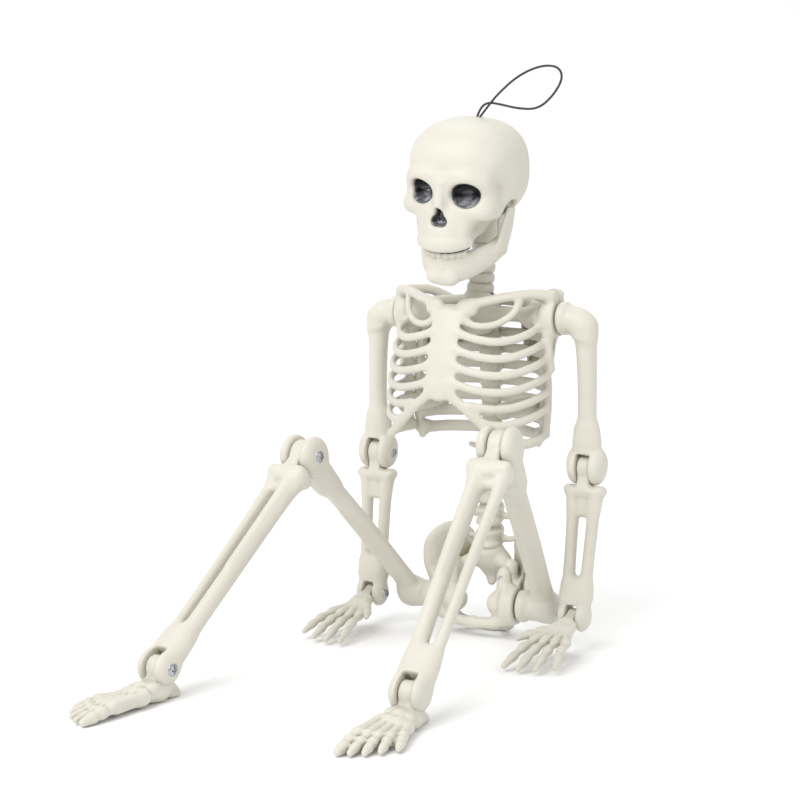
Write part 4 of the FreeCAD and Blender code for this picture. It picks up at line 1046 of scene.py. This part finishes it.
for node, clay in (("ribcage_front", ribcage_front_clay()), ("ribcage_back", ribcage_back_clay()),
                   ("neck", neck_clay()), ("lumbar_spine", lumbar_clay()),
                   ("pelvis_front", pelvis_front_clay()), ("pelvis_back", pelvis_back_clay())):
    put(node, clay, NECK_FRAME if node == "neck" else TORSO_FRAME, "torso")

skull, black = skull_clay()
put("skull_front", half_of(skull, FRONT), HEAD_FRAME, "head")
put("skull_back", half_of(skull, BACK), HEAD_FRAME, "head")
put("socket_paint", black, HEAD_FRAME, "head", material=paint, stands_for=False)
put("jaw", jaw_clay(), HEAD_FRAME, "jaw")
hanging_loop(cord)

for node in ("ribcage_screws", "pelvis_screws"):
    frame["nodes"][node].data.materials.clear()
    frame["nodes"][node].data.materials.append(steel)


# ---------- floor, light and camera
FLOOR_FRONT, FLOOR_BACK, FLOOR_HALF_WIDTH = -2.5, 0.9, 3.0  # metres from the figure
WALL_TOP, BEND_RADIUS, BEND_STEPS = 3.0, 0.5, 12


def studio_floor():
    """A pale floor that curves up into a wall behind the figure."""
    outline = [(FLOOR_FRONT, 0.0), (FLOOR_BACK, 0.0)]
    for step in range(1, BEND_STEPS + 1):
        angle = math.radians(step * 90 / BEND_STEPS)
        outline.append((FLOOR_BACK + BEND_RADIUS * math.sin(angle), BEND_RADIUS * (1 - math.cos(angle))))
    outline.append((FLOOR_BACK + BEND_RADIUS, WALL_TOP))
    azimuth = Matrix.Rotation(math.radians(CAMERA_AZIMUTH), 3, "Z")
    points = [azimuth @ Vector((x, y, z)) for y, z in outline for x in (-FLOOR_HALF_WIDTH, FLOOR_HALF_WIDTH)]
    faces = [(2 * i, 2 * i + 1, 2 * i + 3, 2 * i + 2) for i in range(len(outline) - 1)]
    mesh = bpy.data.meshes.new("studio_floor")
    mesh.from_pydata(points, [], faces)
    mesh.polygons.foreach_set("use_smooth", np.ones(len(faces), bool))
    look = Look("studio_floor")
    look.set("Base Color", look.mixed(look.noise(3, 2), (0.90, 0.90, 0.90), (0.93, 0.93, 0.93)))
    look.set("Roughness", 0.95)
    look.set("Specular IOR Level", 0.0)
    mesh.materials.append(look.material)
    placed("studio_floor", mesh)


def aim(piece, azimuth, elevation, distance, target):
    """Puts a camera or light round and above the target, in degrees, and turns it to the target."""
    a, e = math.radians(azimuth), math.radians(elevation)
    back = Vector((math.sin(a) * math.cos(e), -math.cos(a) * math.cos(e), math.sin(e)))
    piece.location = target + back * distance
    piece.rotation_mode = "QUATERNION"
    piece.rotation_quaternion = (-back).to_track_quat("-Z", "Y")


FIGURE_MIDDLE = Vector((0, -0.05, 0.1))


def area_light(name, round_from_camera, elevation, distance, size, watts):
    """A square soft box that looks at the middle of the figure."""
    data = bpy.data.lights.new(name, "AREA")
    data.shape = "SQUARE"
    data.size = size
    data.energy = watts
    aim(placed(name, data), CAMERA_AZIMUTH + round_from_camera, elevation, distance, FIGURE_MIDDLE)


CAMERA_AZIMUTH, CAMERA_ELEVATION, CAMERA_DISTANCE = 30.9, 6.8, 0.7822
CAMERA_TARGET = Vector((-0.0078, -0.0650, 0.1030))
CAMERA_LENS = 90.18


def camera():
    data = bpy.data.cameras.new("camera")
    data.lens = CAMERA_LENS
    data.sensor_width = 36
    data.clip_start, data.clip_end = 0.01, 20
    eye = placed("camera", data)
    aim(eye, CAMERA_AZIMUTH, CAMERA_ELEVATION, CAMERA_DISTANCE, CAMERA_TARGET)
    bpy.context.scene.camera = eye


studio_floor()
camera()
area_light("key", -38, 42, 1.3, 0.9, 11.5)
area_light("fill", 55, 20, 1.5, 1.2, 2.4)
area_light("top", 170, 62, 1.3, 0.9, 3.2)
world = bpy.data.worlds.new("studio")
bpy.context.scene.world = world
world.use_nodes = True
background = world.node_tree.nodes["Background"].inputs
background["Color"].default_value = (1, 1, 1, 1)
background["Strength"].default_value = 0.80
bpy.context.scene.view_settings.view_transform = "Standard"
